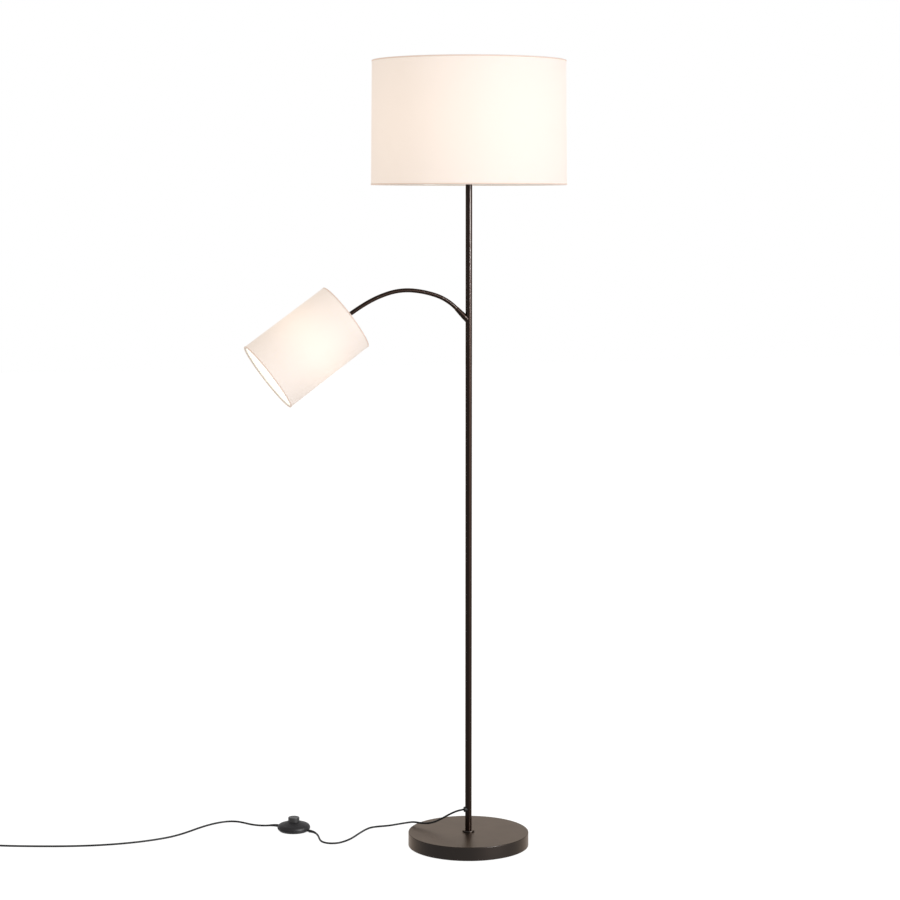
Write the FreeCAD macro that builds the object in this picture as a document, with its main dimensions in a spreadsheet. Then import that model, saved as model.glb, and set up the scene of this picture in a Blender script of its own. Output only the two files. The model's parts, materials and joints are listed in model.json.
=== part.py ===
import FreeCAD, Part
import math
import os
import re
import Sketcher

from FreeCAD import Placement, Rotation, Vector

# A floor lamp with a drum shade on top and a reading light on a flexible neck.
#
# Lengths are in millimetres and angles in degrees. The origin is the middle of the base on the floor
# and +Z is up. The reading light's neck leaves the pole towards -X and bends in the XZ plane. The
# mains lead leaves the pole near its foot, passes over the base's rim, runs through a foot switch and
# ends in a coil and a flat two-pin plug.

DOC = FreeCAD.newDocument("floor_lamp")
SIZE = DOC.addObject("Spreadsheet::Sheet", "Size")
UP = Vector(0, 0, 1)
ACROSS = Vector(0, 1, 0)
HERE = Placement()
FULL_TURN = 360
SPOKES = 3
LINK_KINKS = 3
LEAD_SIDES = 6
CORD_SIDES = 6
COIL_SIDES = 8
RUN_SHARE = 0.45
SHOULDER_STEPS = 3
RELIEF_SIDES = 8
NODES = []


# ---- driving sizes ---------------------------------------------------------------------------

SIZES = (
    ("base_diameter", "250", "outside of the spun steel cover"),
    ("base_height", "29.4", "floor to the cover's top"),
    ("cover_wall", "1.5", "sheet steel"),
    ("cover_lift", "1.5", "floor to the cover's lower edge"),
    ("cover_bevel", "1.1", "worn-round top edge"),
    ("pad_thick", "2", "soft pad under the weight"),
    ("pad_inset", "2.5", "edge of the weight to the pad's edge"),
    ("weight_gap", "1", "between the cast weight and the cover's wall"),
    ("weight_web", "12", "cast weight, thickness of its plate"),
    ("weight_rim", "14", "cast weight, width of its rim"),
    ("rod_diameter", "10", "threaded tubes"),
    ("rod_bore", "7", "threaded tubes"),
    ("rod_tail", "2", "how far the foot's threaded tube passes its nut"),
    ("rod_reach", "24", "foot's threaded tube inside the pole"),
    ("thread_gap", "0.05", "between a thread or a tight tube and its hole"),
    ("nut_across", "17", "flats of the hexagon nut"),
    ("nut_thick", "6", "hexagon nut"),

    ("pole_diameter", "13.5", "steel tube"),
    ("pole_bore", "10.1", "steel tube, tapped at its ends"),
    ("pole_top", "1384", "floor to the pole's top end"),
    ("lower_seam", "483.2", "floor to the lower screwed joint"),
    ("upper_seam", "933.6", "floor to the upper screwed joint"),
    ("coupling_length", "44", "threaded tube inside each joint"),
    ("collar_diameter", "25", "rounded ring at the pole's foot"),
    ("collar_height", "3.4", "rounded ring at the pole's foot"),
    ("collar_bevel", "1", "rounded ring at the pole's foot"),

    ("cord_diameter", "4", "round two-core mains lead"),
    ("grommet_height", "76.6", "floor to the lead's outlet"),
    ("grommet_flange", "11.4", "bush outside the pole"),
    ("grommet_stand", "2.6", "bush, how far it stands out"),
    ("grommet_shank", "8", "bush in the pole's wall"),
    ("lead_bend", "3.6", "bend of the lead inside the pole"),

    ("arm_height", "1092.2", "floor to where the arm meets the pole's axis"),
    ("ferrule_slope", "45", "arm's rise where it leaves the pole"),
    ("ferrule_length", "36.9", "pole's axis to the ferrule's free end"),
    ("ferrule_root", "12.2", "ferrule's diameter at the pole"),
    ("ferrule_straight", "15", "pole's axis to where the ferrule starts to taper"),
    ("ferrule_tip", "10.5", "ferrule's diameter at its free end"),
    ("neck_step", "1", "ferrule's free end to the neck's first joint"),
    ("neck_diameter", "8.5", "outside of the flexible neck"),
    ("neck_bore", "4.9", "inside of the flexible neck"),
    ("link_length", "50.3", "one link of the neck, along its curve"),
    ("neck_turn_1", "26.2", "bend of the neck's first link at rest"),
    ("neck_turn_2", "13.8", "bend of the neck's second link at rest"),
    ("neck_turn_3", "21.6", "bend of the neck's third link at rest"),
    ("neck_turn_4", "13", "bend of the neck's fourth link at rest"),
    ("neck_turn_5", "6.6", "bend of the neck's last link at rest"),
    ("nose_length", "2.1", "tapered end of a link past its joint's centre"),
    ("nose_diameter", "7.4", "tapered end of a link at its tip"),
    ("seat_start", "2.2", "joint's centre to the next link's rim"),
    ("seat_depth", "2", "hollow that takes the tapered end"),
    ("seat_land", "0.2", "flat round the hollow"),
    ("neck_tail", "9", "straight end of the neck in its sleeve"),
    ("lead_diameter", "3.4", "thin lead in the neck"),
    ("lead_start", "4.4", "joint's centre to the next stretch of lead"),
    ("lead_end", "0.1", "stretch of lead to the tip of its link"),
    ("arm_lead_start", "6.5", "pole's axis to the thin lead"),

    ("reading_length", "200", "reading shade, along its axis"),
    ("reading_diameter", "149.6", "reading shade"),
    ("main_bottom", "1367.6", "floor to the main shade's lower edge"),
    ("main_length", "249.3", "main shade's height"),
    ("main_diameter", "394.4", "main shade"),
    ("fabric_thick", "1", "linen on its stiff backing"),
    ("wire_width", "3", "rings and spokes of the shades"),
    ("wire_inset", "1", "edge of a shade to its ring"),
    ("ring_gap", "0.2", "between a ring and the fabric"),

    ("sleeve_diameter", "13", "sleeve crimped on the neck's end"),
    ("sleeve_start", "1", "shade's back edge to the sleeve"),
    ("sleeve_length", "12", "sleeve on the neck's end"),
    ("spigot_length", "9", "sleeve's thread in the lampholder"),
    ("small_holder", "26.5", "small lampholder, across its corners"),
    ("small_cap_length", "13", "small lampholder's cap"),
    ("small_barrel_length", "36", "small lampholder's barrel"),
    ("small_socket", "14.2", "small lampholder's bore"),
    ("large_holder", "39.5", "large lampholder, across its corners"),
    ("large_cap_length", "18", "large lampholder's cap"),
    ("large_barrel_length", "42", "large lampholder's barrel"),
    ("large_socket", "27", "large lampholder's bore"),
    ("nipple_depth", "16", "threaded tube down into the pole's top"),
    ("nipple_rise", "10", "threaded tube up into the large lampholder"),
    ("hub_step", "3", "flat ring in the middle of a spider, outside the lampholder"),
    ("hub_thick", "1.4", "flat ring in the middle of a spider"),
    ("hub_lap", "1.5", "spoke's start to the hub's outer edge"),
    ("fit_gap", "0.3", "between pieces that slip together"),
    ("small_bulb", "30", "diameter of the small tubular bulb"),
    ("small_bulb_length", "62", "glass of the small bulb"),
    ("small_bulb_cap", "13.4", "threaded cap of the small bulb"),
    ("large_bulb", "40", "diameter of the large tubular bulb"),
    ("large_bulb_length", "92", "glass of the large bulb"),
    ("large_bulb_cap", "26", "threaded cap of the large bulb"),
    ("bulb_cap_length", "24", "threaded cap of either bulb"),
    ("bulb_seat", "4", "glass inside the barrel's end"),
    ("bulb_neck", "3", "barrel's end to the bulb's full width"),
    ("bulb_bevel", "3", "free end of a bulb"),

    ("switch_x", "-328", "foot switch, place on the floor"),
    ("switch_y", "207.5", "foot switch, place on the floor"),
    ("switch_angle", "-48", "foot switch, direction of its lead"),
    ("switch_diameter", "70", "widest part of the foot switch"),
    ("switch_foot", "60", "foot switch where it meets the floor"),
    ("switch_parting", "5.6", "floor to the joint of its two shells"),
    ("switch_top", "20.6", "floor to the cover's top"),
    ("switch_slope", "20", "cover's slope round the button"),
    ("switch_round", "9", "rounding of the cover's shoulder"),
    ("round_height", "6.3", "floor to the middle of that rounding"),
    ("switch_wall", "2", "floor of the lower shell"),
    ("tray_inside", "56", "hollow of the lower shell"),
    ("cover_inside", "57", "hollow of the cover"),
    ("cover_ceiling", "12.5", "floor to the top of the cover's hollow"),
    ("seam_gap", "0.2", "between the two shells"),
    ("button_diameter", "24", "foot button"),
    ("button_top", "29.6", "floor to the button's top"),
    ("button_bevel", "1.2", "worn edge of the button"),
    ("button_gap", "0.35", "round the button and its stem"),
    ("button_lip", "1.4", "lip that keeps the button in"),
    ("lip_top", "12.3", "floor to the lip's top"),
    ("stem_diameter", "7", "button's stem in the contact unit"),
    ("stem_end", "6.2", "floor to the stem's end"),
    ("unit_length", "30", "contact unit, along the lead"),
    ("unit_width", "20", "contact unit"),
    ("unit_top", "7.6", "floor to the contact unit's top"),
    ("guide_floor", "2.6", "floor to the bottom of the stem's hole"),
    ("outlet_height", "5", "floor to the lead where it leaves the switch"),
    ("outlet_reach", "36", "middle of the switch to the lead's outlet"),
    ("outlet_start", "31.5", "middle of the switch to the outlet's inner end"),
    ("outlet_diameter", "7.2", "outlet of the switch"),

    ("coil_x", "-983.6", "middle of the coil on the floor"),
    ("coil_y", "288.5", "middle of the coil on the floor"),
    ("coil_angle", "-15.9", "turns the coil to the direction of its lead"),
    ("coil_radius", "26.5", "outermost half turn of the lower layer"),
    ("coil_pitch", "4.45", "turn to turn, and layer to layer"),
    ("coil_height", "2.75", "floor to the middle of the lower layer"),
    ("tie_thick", "0.6", "band round the coil"),
    ("tie_width", "6", "band round the coil"),
    ("tie_gap", "0.9", "band to the coil"),
    ("plug_width", "35.2", "plug, across its pins"),
    ("plug_tail", "13", "plug, width at the lead's end"),
    ("plug_thick", "14", "plug"),
    ("plug_length", "36", "plug without its relief"),
    ("plug_shoulder", "22", "plug's lead end to its full width"),
    ("plug_bevel", "2.5", "plug's long edges"),
    ("relief_length", "26", "tapered strain relief"),
    ("relief_thick", "9", "strain relief at the plug"),
    ("relief_thin", "5.4", "strain relief at the lead"),
    ("pin_diameter", "4", "plug's pins"),
    ("pin_length", "19", "plug's pins"),
    ("pin_spacing", "18.6", "plug's pins"),
)
for row, (alias, number, note) in enumerate(SIZES, start=1):
    SIZE.set(f"A{row}", note)
    SIZE.set(f"B{row}", number)
    SIZE.setAlias(f"B{row}", alias)
DOC.recompute()

ALIASES = {SIZE.getAlias(f"B{row}") for row in range(1, len(SIZES) + 1)}


def bound(expression):
    """The same expression with each size's name pointing to its cell."""
    def cell(word):
        return "Size." + word[0] if word[0] in ALIASES else word[0]
    return re.sub(r"[a-z]\w*", cell, expression)


GAUGE = DOC.addObject("App::FeaturePython", "Gauge")
GAUGE.addProperty("App::PropertyFloat", "Reading")


def value(expression):
    """A size, or a sum of sizes, as a plain number."""
    GAUGE.setExpression("Reading", bound(expression))
    GAUGE.recompute()
    return GAUGE.Reading


# ---- ways of making a piece ------------------------------------------------------------------

def keep(piece, label):
    """Name a finished piece and list it for export."""
    piece.Label = label
    NODES.append(piece)
    return piece


def up(height, frame=HERE):
    """A place on the frame's axis, at a height along it."""
    return frame * Placement(Vector(0, 0, height), Rotation())


def solid(kind, name, place=HERE, **sizes):
    """A Part primitive, or a flat outline, whose sizes follow the sheet."""
    thing = DOC.addObject("Part::" + kind, name)
    for prop, expression in sizes.items():
        thing.setExpression(prop, bound(expression))
    thing.Placement = place
    return thing


def cut(name, base, tool):
    """The base without the tool."""
    thing = DOC.addObject("Part::Cut", name)
    thing.Base = base
    thing.Tool = tool
    return thing


def fuse(name, *pieces):
    """One solid from several that touch."""
    thing = DOC.addObject("Part::MultiFuse", name)
    thing.Shapes = list(pieces)
    return thing


def group(name, *pieces):
    """Separate solids of the same kind under one name."""
    thing = DOC.addObject("Part::Compound", name)
    thing.Links = list(pieces)
    return thing


def outlined(body, role, outline):
    """A closed outline of straight sides, each corner held by two expressions."""
    sketch = body.newObject("Sketcher::SketchObject", body.Name + "_outline")
    plane = next(plane for plane in body.Origin.OriginFeatures if plane.Role == role)
    sketch.AttachmentSupport = [(plane, "")]
    sketch.MapMode = "FlatFace"
    count = len(outline)
    ring = [Rotation(UP, FULL_TURN * corner / count).multVec(Vector(1, 0, 0)) for corner in range(count)]
    for corner in range(count):
        sketch.addGeometry(Part.LineSegment(ring[corner], ring[(corner + 1) % count]), False)
    for corner in range(count):
        sketch.addConstraint(Sketcher.Constraint("Coincident", corner, 2, (corner + 1) % count, 1))
    for corner, place in enumerate(outline):
        for kind, expression in zip(("DistanceX", "DistanceY"), place):
            held = sketch.addConstraint(Sketcher.Constraint(kind, -1, 1, corner, 1, 1.0))
            sketch.setExpression(f"Constraints[{held}]", bound(expression))
    return sketch


def turned(name, outline, frame=HERE):
    """A turned solid from its (radius, height) corners, on the frame's axis."""
    body = DOC.addObject("PartDesign::Body", name)
    sketch = outlined(body, "XZ_Plane", outline)
    feature = body.newObject("PartDesign::Revolution", name + "_turn")
    feature.Profile = sketch
    feature.ReferenceAxis = (sketch, ["V_Axis"])
    feature.Angle = FULL_TURN
    body.Tip = feature
    body.Placement = frame
    return body


def tube(name, inside, outside, low, high, frame=HERE):
    """A plain tube, or a disc where the inside is 0: two diameters and two heights."""
    return turned(name, [
        (f"({inside}) / 2", low),
        (f"({outside}) / 2", low),
        (f"({outside}) / 2", high),
        (f"({inside}) / 2", high),
    ], frame)


def bent(name, kind, start, corners, **sizes):
    """A bar of straight, mitred stretches from a flat outline at its start through some points."""
    spine = DOC.addObject("Part::Polygon", name + "_spine")
    spine.Nodes = [start.Base, *corners]
    sweep = DOC.addObject("Part::Sweep", name)
    sweep.Sections = [solid(kind, name + "_section", start, **sizes)]
    sweep.Spine = (spine, [f"Edge{number}" for number in range(1, len(corners) + 1)])
    sweep.Solid = True
    sweep.Transition = "Right corner"
    return sweep


def rounded_route(points):
    """Straight runs joined by tangent arcs, as large as the runs allow, and the arcs' radii."""
    edges = []
    radii = []
    last = points[0]
    for before, corner, after in zip(points, points[1:], points[2:]):
        arriving = corner - before
        leaving = after - corner
        trim = RUN_SHARE * min(arriving.Length, leaving.Length)
        half = arriving.getAngle(leaving) / 2
        radius = trim / math.tan(half)
        arriving.normalize()
        leaving.normalize()
        inward = (leaving - arriving).normalize()
        start = corner - arriving * trim
        end = corner + leaving * trim
        middle = corner + inward * radius * (1 / math.cos(half) - 1)
        edges += [Part.LineSegment(last, start).toShape(), Part.Arc(start, middle, end).toShape()]
        radii.append(radius)
        last = end
    edges.append(Part.LineSegment(last, points[-1]).toShape())
    return edges, radii


def swept(name, edges, radius, sides):
    """A bar with flat sides, its corners on the given radius, along edges that join smoothly."""
    spine = Part.Wire(edges)
    start = edges[0].valueAt(edges[0].FirstParameter)
    along = edges[0].tangentAt(edges[0].FirstParameter)
    face_on = Placement(start, Rotation(UP, along))
    corners = [
        face_on.multVec(Rotation(UP, FULL_TURN * (side + 0.5) / sides).multVec(Vector(radius, 0, 0)))
        for side in range(sides)
    ]
    thing = DOC.addObject("Part::Feature", name)
    thing.Shape = spine.makePipeShell([Part.makePolygon(corners + corners[:1])], True, False)
    section = sides / 2 * radius**2 * math.sin(2 * math.pi / sides)
    print(f"{name}: length {spine.Length:.1f}, volume over section x length "
          f"{thing.Shape.Volume / (section * spine.Length):.4f}")
    return thing


# ---- base and pole ---------------------------------------------------------------------------

def base():
    weight = "base_diameter / 2 - cover_wall - weight_gap"
    keep(turned("base_cover", [
        ("rod_diameter / 2 + thread_gap", "base_height - cover_wall"),
        ("rod_diameter / 2 + thread_gap", "base_height"),
        ("base_diameter / 2 - cover_bevel", "base_height"),
        ("base_diameter / 2", "base_height - cover_bevel"),
        ("base_diameter / 2", "cover_lift"),
        ("base_diameter / 2 - cover_wall", "cover_lift"),
        ("base_diameter / 2 - cover_wall", "base_height - cover_wall"),
    ]), "base_cover")
    keep(turned("base_weight", [
        ("rod_diameter / 2 + thread_gap", "base_height - cover_wall"),
        (weight, "base_height - cover_wall"),
        (weight, "pad_thick"),
        (weight + " - weight_rim", "pad_thick"),
        (weight + " - weight_rim", "base_height - cover_wall - weight_web"),
        ("rod_diameter / 2 + thread_gap", "base_height - cover_wall - weight_web"),
    ]), "base_weight")
    keep(tube("base_pad", "0", f"2 * ({weight} - pad_inset)", "0", "pad_thick"), "base_pad")
    under_nut = "base_height - cover_wall - weight_web - nut_thick"
    nut = solid("Prism", "nut_prism", Circumradius="nut_across / sqrt(3)", Height="nut_thick")
    nut.setExpression("Placement.Base.z", bound(under_nut))
    nut.Polygon = 6
    hole = solid("Cylinder", "nut_hole", Radius="rod_diameter / 2 + thread_gap", Height="base_height")
    keep(cut("base_nut", nut, hole), "base_nut")
    foot = "base_height + collar_height"
    keep(turned("pole_collar", [
        ("rod_diameter / 2 + thread_gap", "base_height"),
        ("collar_diameter / 2", "base_height"),
        ("collar_diameter / 2", foot + " - collar_bevel"),
        ("collar_diameter / 2 - collar_bevel", foot),
        ("rod_diameter / 2 + thread_gap", foot),
    ]), "pole_collar")


def pole():
    """Three screwed tubes, with a hole for the lead at the foot and one for the arm."""
    foot = "base_height + collar_height"
    outlet = grommet_frame()
    lower = tube("lower_tube", "pole_bore", "pole_diameter", foot, "lower_seam")
    outlet_hole = solid("Cylinder", "outlet_hole", outlet, Radius="grommet_shank / 2",
                        Height="pole_diameter")
    keep(cut("pole_lower", lower, outlet_hole), "pole_lower")
    keep(tube("pole_middle", "pole_bore", "pole_diameter", "lower_seam", "upper_seam"), "pole_middle")
    upper = tube("upper_tube", "pole_bore", "pole_diameter", "upper_seam", "pole_top")
    arm_hole = solid("Cylinder", "arm_hole", arm_frame(), Radius="lead_diameter / 2 + fit_gap",
                     Height="pole_diameter")
    keep(cut("pole_upper", upper, arm_hole), "pole_upper")


def threaded_tubes():
    """One clamps the base to the pole, two join the pole's tubes and one carries the lampholder."""
    spans = {
        "foot_thread": ("base_height - cover_wall - weight_web - nut_thick - rod_tail",
                        "base_height + collar_height + rod_reach"),
        "lower_thread": ("lower_seam - coupling_length / 2", "lower_seam + coupling_length / 2"),
        "upper_thread": ("upper_seam - coupling_length / 2", "upper_seam + coupling_length / 2"),
        "top_thread": ("pole_top - nipple_depth", "pole_top + nipple_rise"),
    }
    tubes = [tube(name, "rod_bore", "rod_diameter", low, high) for name, (low, high) in spans.items()]
    keep(group("threaded_tubes", *tubes), "threaded_tubes")


def grommet_frame():
    """On the pole's axis at the outlet, +Z out of the outlet."""
    return Placement(Vector(0, 0, value("grommet_height")), Rotation(ACROSS, -90))


def grommet():
    frame = grommet_frame()
    flange = solid("Cylinder", "grommet_disc", frame, Radius="grommet_flange / 2",
                   Height="pole_diameter / 2 + grommet_stand")
    around = solid("Cylinder", "around_pole", Radius="pole_diameter / 2", Height="2 * grommet_height")
    shank = tube("grommet_shank_bar", "0", "grommet_shank", "pole_bore / 2",
                 "pole_diameter / 2 + grommet_stand", frame)
    whole = fuse("grommet_whole", cut("grommet_saddle", flange, around), shank)
    bore = solid("Cylinder", "grommet_bore", frame, Radius="cord_diameter / 2 + thread_gap",
                 Height="pole_diameter")
    keep(cut("cord_grommet", whole, bore), "cord_grommet")


def pole_lead():
    """The mains lead inside the pole, from its outlet up to the large lampholder."""
    outlet = -value("pole_diameter / 2 + grommet_stand")
    level = value("grommet_height")
    bend = value("lead_bend")
    half = bend * math.sqrt(0.5)
    top = value("pole_top + nipple_rise")
    edges = [
        Part.LineSegment(Vector(outlet, 0, level), Vector(-bend, 0, level)).toShape(),
        Part.Arc(Vector(-bend, 0, level), Vector(half - bend, 0, level + bend - half),
                 Vector(0, 0, level + bend)).toShape(),
        Part.LineSegment(Vector(0, 0, level + bend), Vector(0, 0, top)).toShape(),
    ]
    keep(swept("pole_lead", edges, value("cord_diameter / 2"), LEAD_SIDES), "pole_lead")


# ---- arm and flexible neck -------------------------------------------------------------------

def arm_frame():
    """On the pole's axis where the arm leaves it, +Z along the arm."""
    return Placement(Vector(0, 0, value("arm_height")), Rotation(ACROSS, value("ferrule_slope") - 90))


def ferrule():
    frame = arm_frame()
    tip = "ferrule_length + neck_step + nose_length"
    bar = turned("ferrule_bar", [
        ("neck_bore / 2", "0"),
        ("ferrule_root / 2", "0"),
        ("ferrule_root / 2", "ferrule_straight"),
        ("ferrule_tip / 2", "ferrule_length"),
        ("neck_diameter / 2", "ferrule_length"),
        ("neck_diameter / 2", "ferrule_length + neck_step"),
        ("nose_diameter / 2", tip),
        ("neck_bore / 2", tip),
    ], frame)
    around = solid("Cylinder", "around_pole_top", Radius="pole_diameter / 2", Height="pole_top")
    keep(cut("arm_ferrule", bar, around), "arm_ferrule")
    keep(turned("arm_lead", [
        ("0", "arm_lead_start"),
        ("lead_diameter / 2", "arm_lead_start"),
        ("lead_diameter / 2", tip + " - lead_end"),
        ("0", tip + " - lead_end"),
    ], frame), "arm_lead")


def link_curve(link):
    """The radius of a link's curve and its whole turn in radians."""
    turn = math.radians(value(f"neck_turn_{link}"))
    return value("link_length") / turn, turn


def link_end(frame, link):
    """The link's second joint, with +Z on along the neck."""
    radius, turn = link_curve(link)
    along = Vector(-radius * (1 - math.cos(turn)), 0, radius * math.sin(turn))
    return frame * Placement(along, Rotation(ACROSS, -math.degrees(turn)))


def link_kinks(frame, link):
    """Points where the tangents of the link's curve meet, so that its ends stay in line with it."""
    radius, turn = link_curve(link)
    half = turn / (2 * LINK_KINKS)
    reach = radius / math.cos(half)
    angles = [half * (2 * kink + 1) for kink in range(LINK_KINKS)]
    return [
        frame.multVec(Vector(reach * math.cos(angle) - radius, 0, reach * math.sin(angle)))
        for angle in angles
    ]


def neck_link(link, frame, last):
    """A bent tube: a hollow for the nose behind it, and a nose of its own or a straight tail."""
    label = f"neck_link_{link}"
    end = link_end(frame, link)
    kinks = link_kinks(frame, link)
    first = up(value("seat_start"), frame)
    tail = value("neck_tail" if last else "nose_length")
    outer_end = up(tail, end).Base if last else end.Base
    body = bent(label + "_bar", "Circle", first, [*kinks, outer_end], Radius="neck_diameter / 2")
    if not last:
        nose = solid("Cone", label + "_nose", end, Radius1="neck_diameter / 2",
                     Radius2="nose_diameter / 2", Height="nose_length")
        body = fuse(label + "_whole", body, nose)
    past = value("neck_step")
    bore = bent(label + "_bore", "Circle", up(-past, first), [*kinks, up(tail + past, end).Base],
                Radius="neck_bore / 2")
    seat = solid("Cone", label + "_seat", first, Radius1="neck_diameter / 2 - seat_land",
                 Radius2="neck_bore / 2", Height="seat_depth")
    keep(cut(label, cut(label + "_bored", body, bore), seat), label)
    stop = value("sleeve_start + sleeve_length + spigot_length" if last else "nose_length - lead_end")
    keep(bent(f"neck_lead_{link}", "RegularPolygon", up(value("lead_start"), frame),
              [*kinks, up(stop, end).Base], Circumradius="lead_diameter / 2"), f"neck_lead_{link}")
    return end


def neck():
    """All links in turn. The return is the reading light's frame."""
    frame = up(value("ferrule_length + neck_step"), arm_frame())
    links = sum(alias.startswith("neck_turn_") for alias in ALIASES)
    for link in range(1, links + 1):
        middle = frame.Base
        axis = frame.Rotation.multVec(UP)
        print(f"joint {link}: centre {middle.x:.2f} {middle.z:.2f}, direction {axis.x:.5f} {axis.z:.5f}")
        frame = neck_link(link, frame, link == links)
    return frame


# ---- shades, lampholders and bulbs -----------------------------------------------------------

def shade(name, frame):
    """A drum of fabric."""
    label = name + "_fabric"
    inside = f"{name}_diameter - 2 * fabric_thick"
    keep(tube(label, inside, f"{name}_diameter", "0", f"{name}_length", frame), label)


def wire_ring(name, shade_name, low, frame):
    """A ring just inside the fabric, from a height above the shade's lower edge."""
    outside = f"{shade_name}_diameter - 2 * fabric_thick - 2 * ring_gap"
    return tube(name, f"{outside} - 2 * wire_width", outside, low, f"{low} + wire_width", frame)


def spider(name, holder, seat, frame):
    """A flat hub between the lampholder's two halves, and spokes out to the shade's lower ring."""
    label = name + "_spider"
    hub_width = f"{holder}_holder + 2 * hub_step"
    hub = tube(label + "_hub", f"{holder}_socket", hub_width, seat, f"{seat} + hub_thick", frame)
    ring = wire_ring(label + "_wire", name, "wire_inset", frame)
    start = Vector(value(f"({hub_width}) / 2 - hub_lap"), 0, value(f"{seat} + hub_thick / 2"))
    end = Vector(value(f"{name}_diameter / 2 - fabric_thick - ring_gap - wire_width / 2"), 0,
                 value("wire_inset + wire_width / 2"))
    spokes = []
    for number in range(SPOKES):
        around = Placement(Vector(), Rotation(UP, FULL_TURN * (number + 0.5) / SPOKES))
        place = frame * around * Placement(start, Rotation(UP, end - start))
        spoke = solid("Cylinder", f"{label}_spoke_{number + 1}", place, Radius="wire_width / 2")
        spoke.Height = (end - start).Length
        spokes.append(spoke)
    keep(fuse(label, hub, ring, *spokes), label)


def lampholder(name, holder, low, seat, frame):
    """A cap on the threaded tube, and the barrel that is screwed to it through the spider's hub."""
    label = name + "_holder_cap"
    keep(tube(label, "rod_diameter + 2 * thread_gap", f"{holder}_holder", low, seat, frame), label)
    foot = f"{seat} + hub_thick"
    keep(tube(name + "_holder_barrel", f"{holder}_socket", f"{holder}_holder", foot,
              f"{foot} + {holder}_barrel_length", frame), name + "_holder_barrel")


def bulb(name, holder, seat, frame):
    """A tubular bulb: a threaded cap and a narrow neck in the barrel, and a wide glass above it."""
    rim = f"{seat} + hub_thick + {holder}_barrel_length"
    foot = f"{rim} - bulb_seat"
    end = f"{foot} + {holder}_bulb_length"
    keep(tube(name + "_bulb_cap", "0", f"{holder}_bulb_cap", f"{foot} - bulb_cap_length", foot, frame),
         name + "_bulb_cap")
    keep(turned(name + "_bulb_glass", [
        ("0", foot),
        (f"{holder}_bulb_cap / 2", foot),
        (f"{holder}_bulb_cap / 2", f"{rim} + bulb_neck"),
        (f"{holder}_bulb / 2", f"{rim} + bulb_neck"),
        (f"{holder}_bulb / 2", f"{end} - bulb_bevel"),
        (f"{holder}_bulb / 2 - bulb_bevel", end),
        ("0", end),
    ], frame), name + "_bulb_glass")


def reading_light(frame):
    """Everything on the neck's end, in the shade's own frame: +Z points out of its open end."""
    keep(turned("neck_end_sleeve", [
        ("neck_diameter / 2 + thread_gap", "sleeve_start"),
        ("sleeve_diameter / 2", "sleeve_start"),
        ("sleeve_diameter / 2", "sleeve_start + sleeve_length"),
        ("rod_diameter / 2", "sleeve_start + sleeve_length"),
        ("rod_diameter / 2", "sleeve_start + sleeve_length + spigot_length"),
        ("lead_diameter / 2 + fit_gap", "sleeve_start + sleeve_length + spigot_length"),
        ("lead_diameter / 2 + fit_gap", "neck_tail"),
        ("neck_diameter / 2 + thread_gap", "neck_tail"),
    ], frame), "neck_end_sleeve")
    seat = "sleeve_start + sleeve_length + small_cap_length"
    lampholder("reading", "small", "sleeve_start + sleeve_length", seat, frame)
    bulb("reading", "small", seat, frame)
    spider("reading", "small", seat, frame)
    front = "reading_length - wire_inset - wire_width"
    keep(wire_ring("reading_front_ring", "reading", front, frame), "reading_front_ring")
    shade("reading", frame)


def main_light():
    """Everything on the pole's top, measured from the shade's lower edge."""
    frame = up(value("main_bottom"))
    low = "pole_top - main_bottom"
    seat = low + " + large_cap_length"
    lampholder("main", "large", low, seat, frame)
    bulb("main", "large", seat, frame)
    spider("main", "large", seat, frame)
    top = "main_length - wire_inset - wire_width"
    keep(wire_ring("main_top_ring", "main", top, frame), "main_top_ring")
    shade("main", frame)


# ---- foot switch -----------------------------------------------------------------------------

def switch_frame():
    """The switch's middle on the floor, +X along the lead towards the lamp."""
    return Placement(Vector(value("switch_x"), value("switch_y"), 0), Rotation(UP, value("switch_angle")))


def outlet_frame(side):
    """The lead's outlet on one side, +Z out of the switch."""
    return switch_frame() * Placement(Vector(0, 0, value("outlet_height")), Rotation(ACROSS, 90 * side))


def switch_base():
    """A shallow tray, with a bored outlet for the lead at each side."""
    tray = turned("switch_tray", [
        ("0", "0"),
        ("switch_foot / 2", "0"),
        ("switch_diameter / 2", "switch_parting"),
        ("tray_inside / 2", "switch_parting"),
        ("tray_inside / 2", "switch_wall"),
        ("0", "switch_wall"),
    ], switch_frame())
    outlets = []
    bores = []
    for number, side in enumerate((1, -1), start=1):
        frame = outlet_frame(side)
        outlets.append(tube(f"switch_outlet_{number}", "0", "outlet_diameter", "outlet_start",
                            "outlet_reach", frame))
        bores.append(tube(f"switch_bore_{number}", "0", "cord_diameter + 2 * thread_gap",
                          "unit_length / 2", "outlet_reach + outlet_diameter", frame))
    whole = fuse("switch_whole", tray, *outlets)
    keep(cut("switch_base", whole, group("switch_bores", *bores)), "switch_base")


def shoulder():
    """Corners on the cover's rounded shoulder, from its wall to its slope."""
    corners = []
    for step in range(SHOULDER_STEPS + 1):
        angle = math.radians((90 - value("switch_slope")) * step / SHOULDER_STEPS)
        corners.append((f"switch_diameter / 2 - switch_round * {1 - math.cos(angle):.4f}",
                        f"round_height + switch_round * {math.sin(angle):.4f}"))
    return corners


def switch_cover():
    """The upper shell: a rounded shoulder, a slope up to the button's hole and two notches."""
    hole = "button_diameter / 2 + button_gap"
    shell = turned("switch_shell", [
        ("cover_inside / 2", "switch_parting + seam_gap"),
        ("switch_diameter / 2", "switch_parting + seam_gap"),
        *shoulder(),
        (hole, "switch_top"),
        (hole, "cover_ceiling"),
        ("cover_inside / 2", "cover_ceiling"),
    ], switch_frame())
    notches = tube("switch_notches", "0", "outlet_diameter + 2 * seam_gap", "0 - switch_diameter",
                   "switch_diameter", outlet_frame(1))
    keep(cut("switch_cover", shell, notches), "switch_cover")


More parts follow.
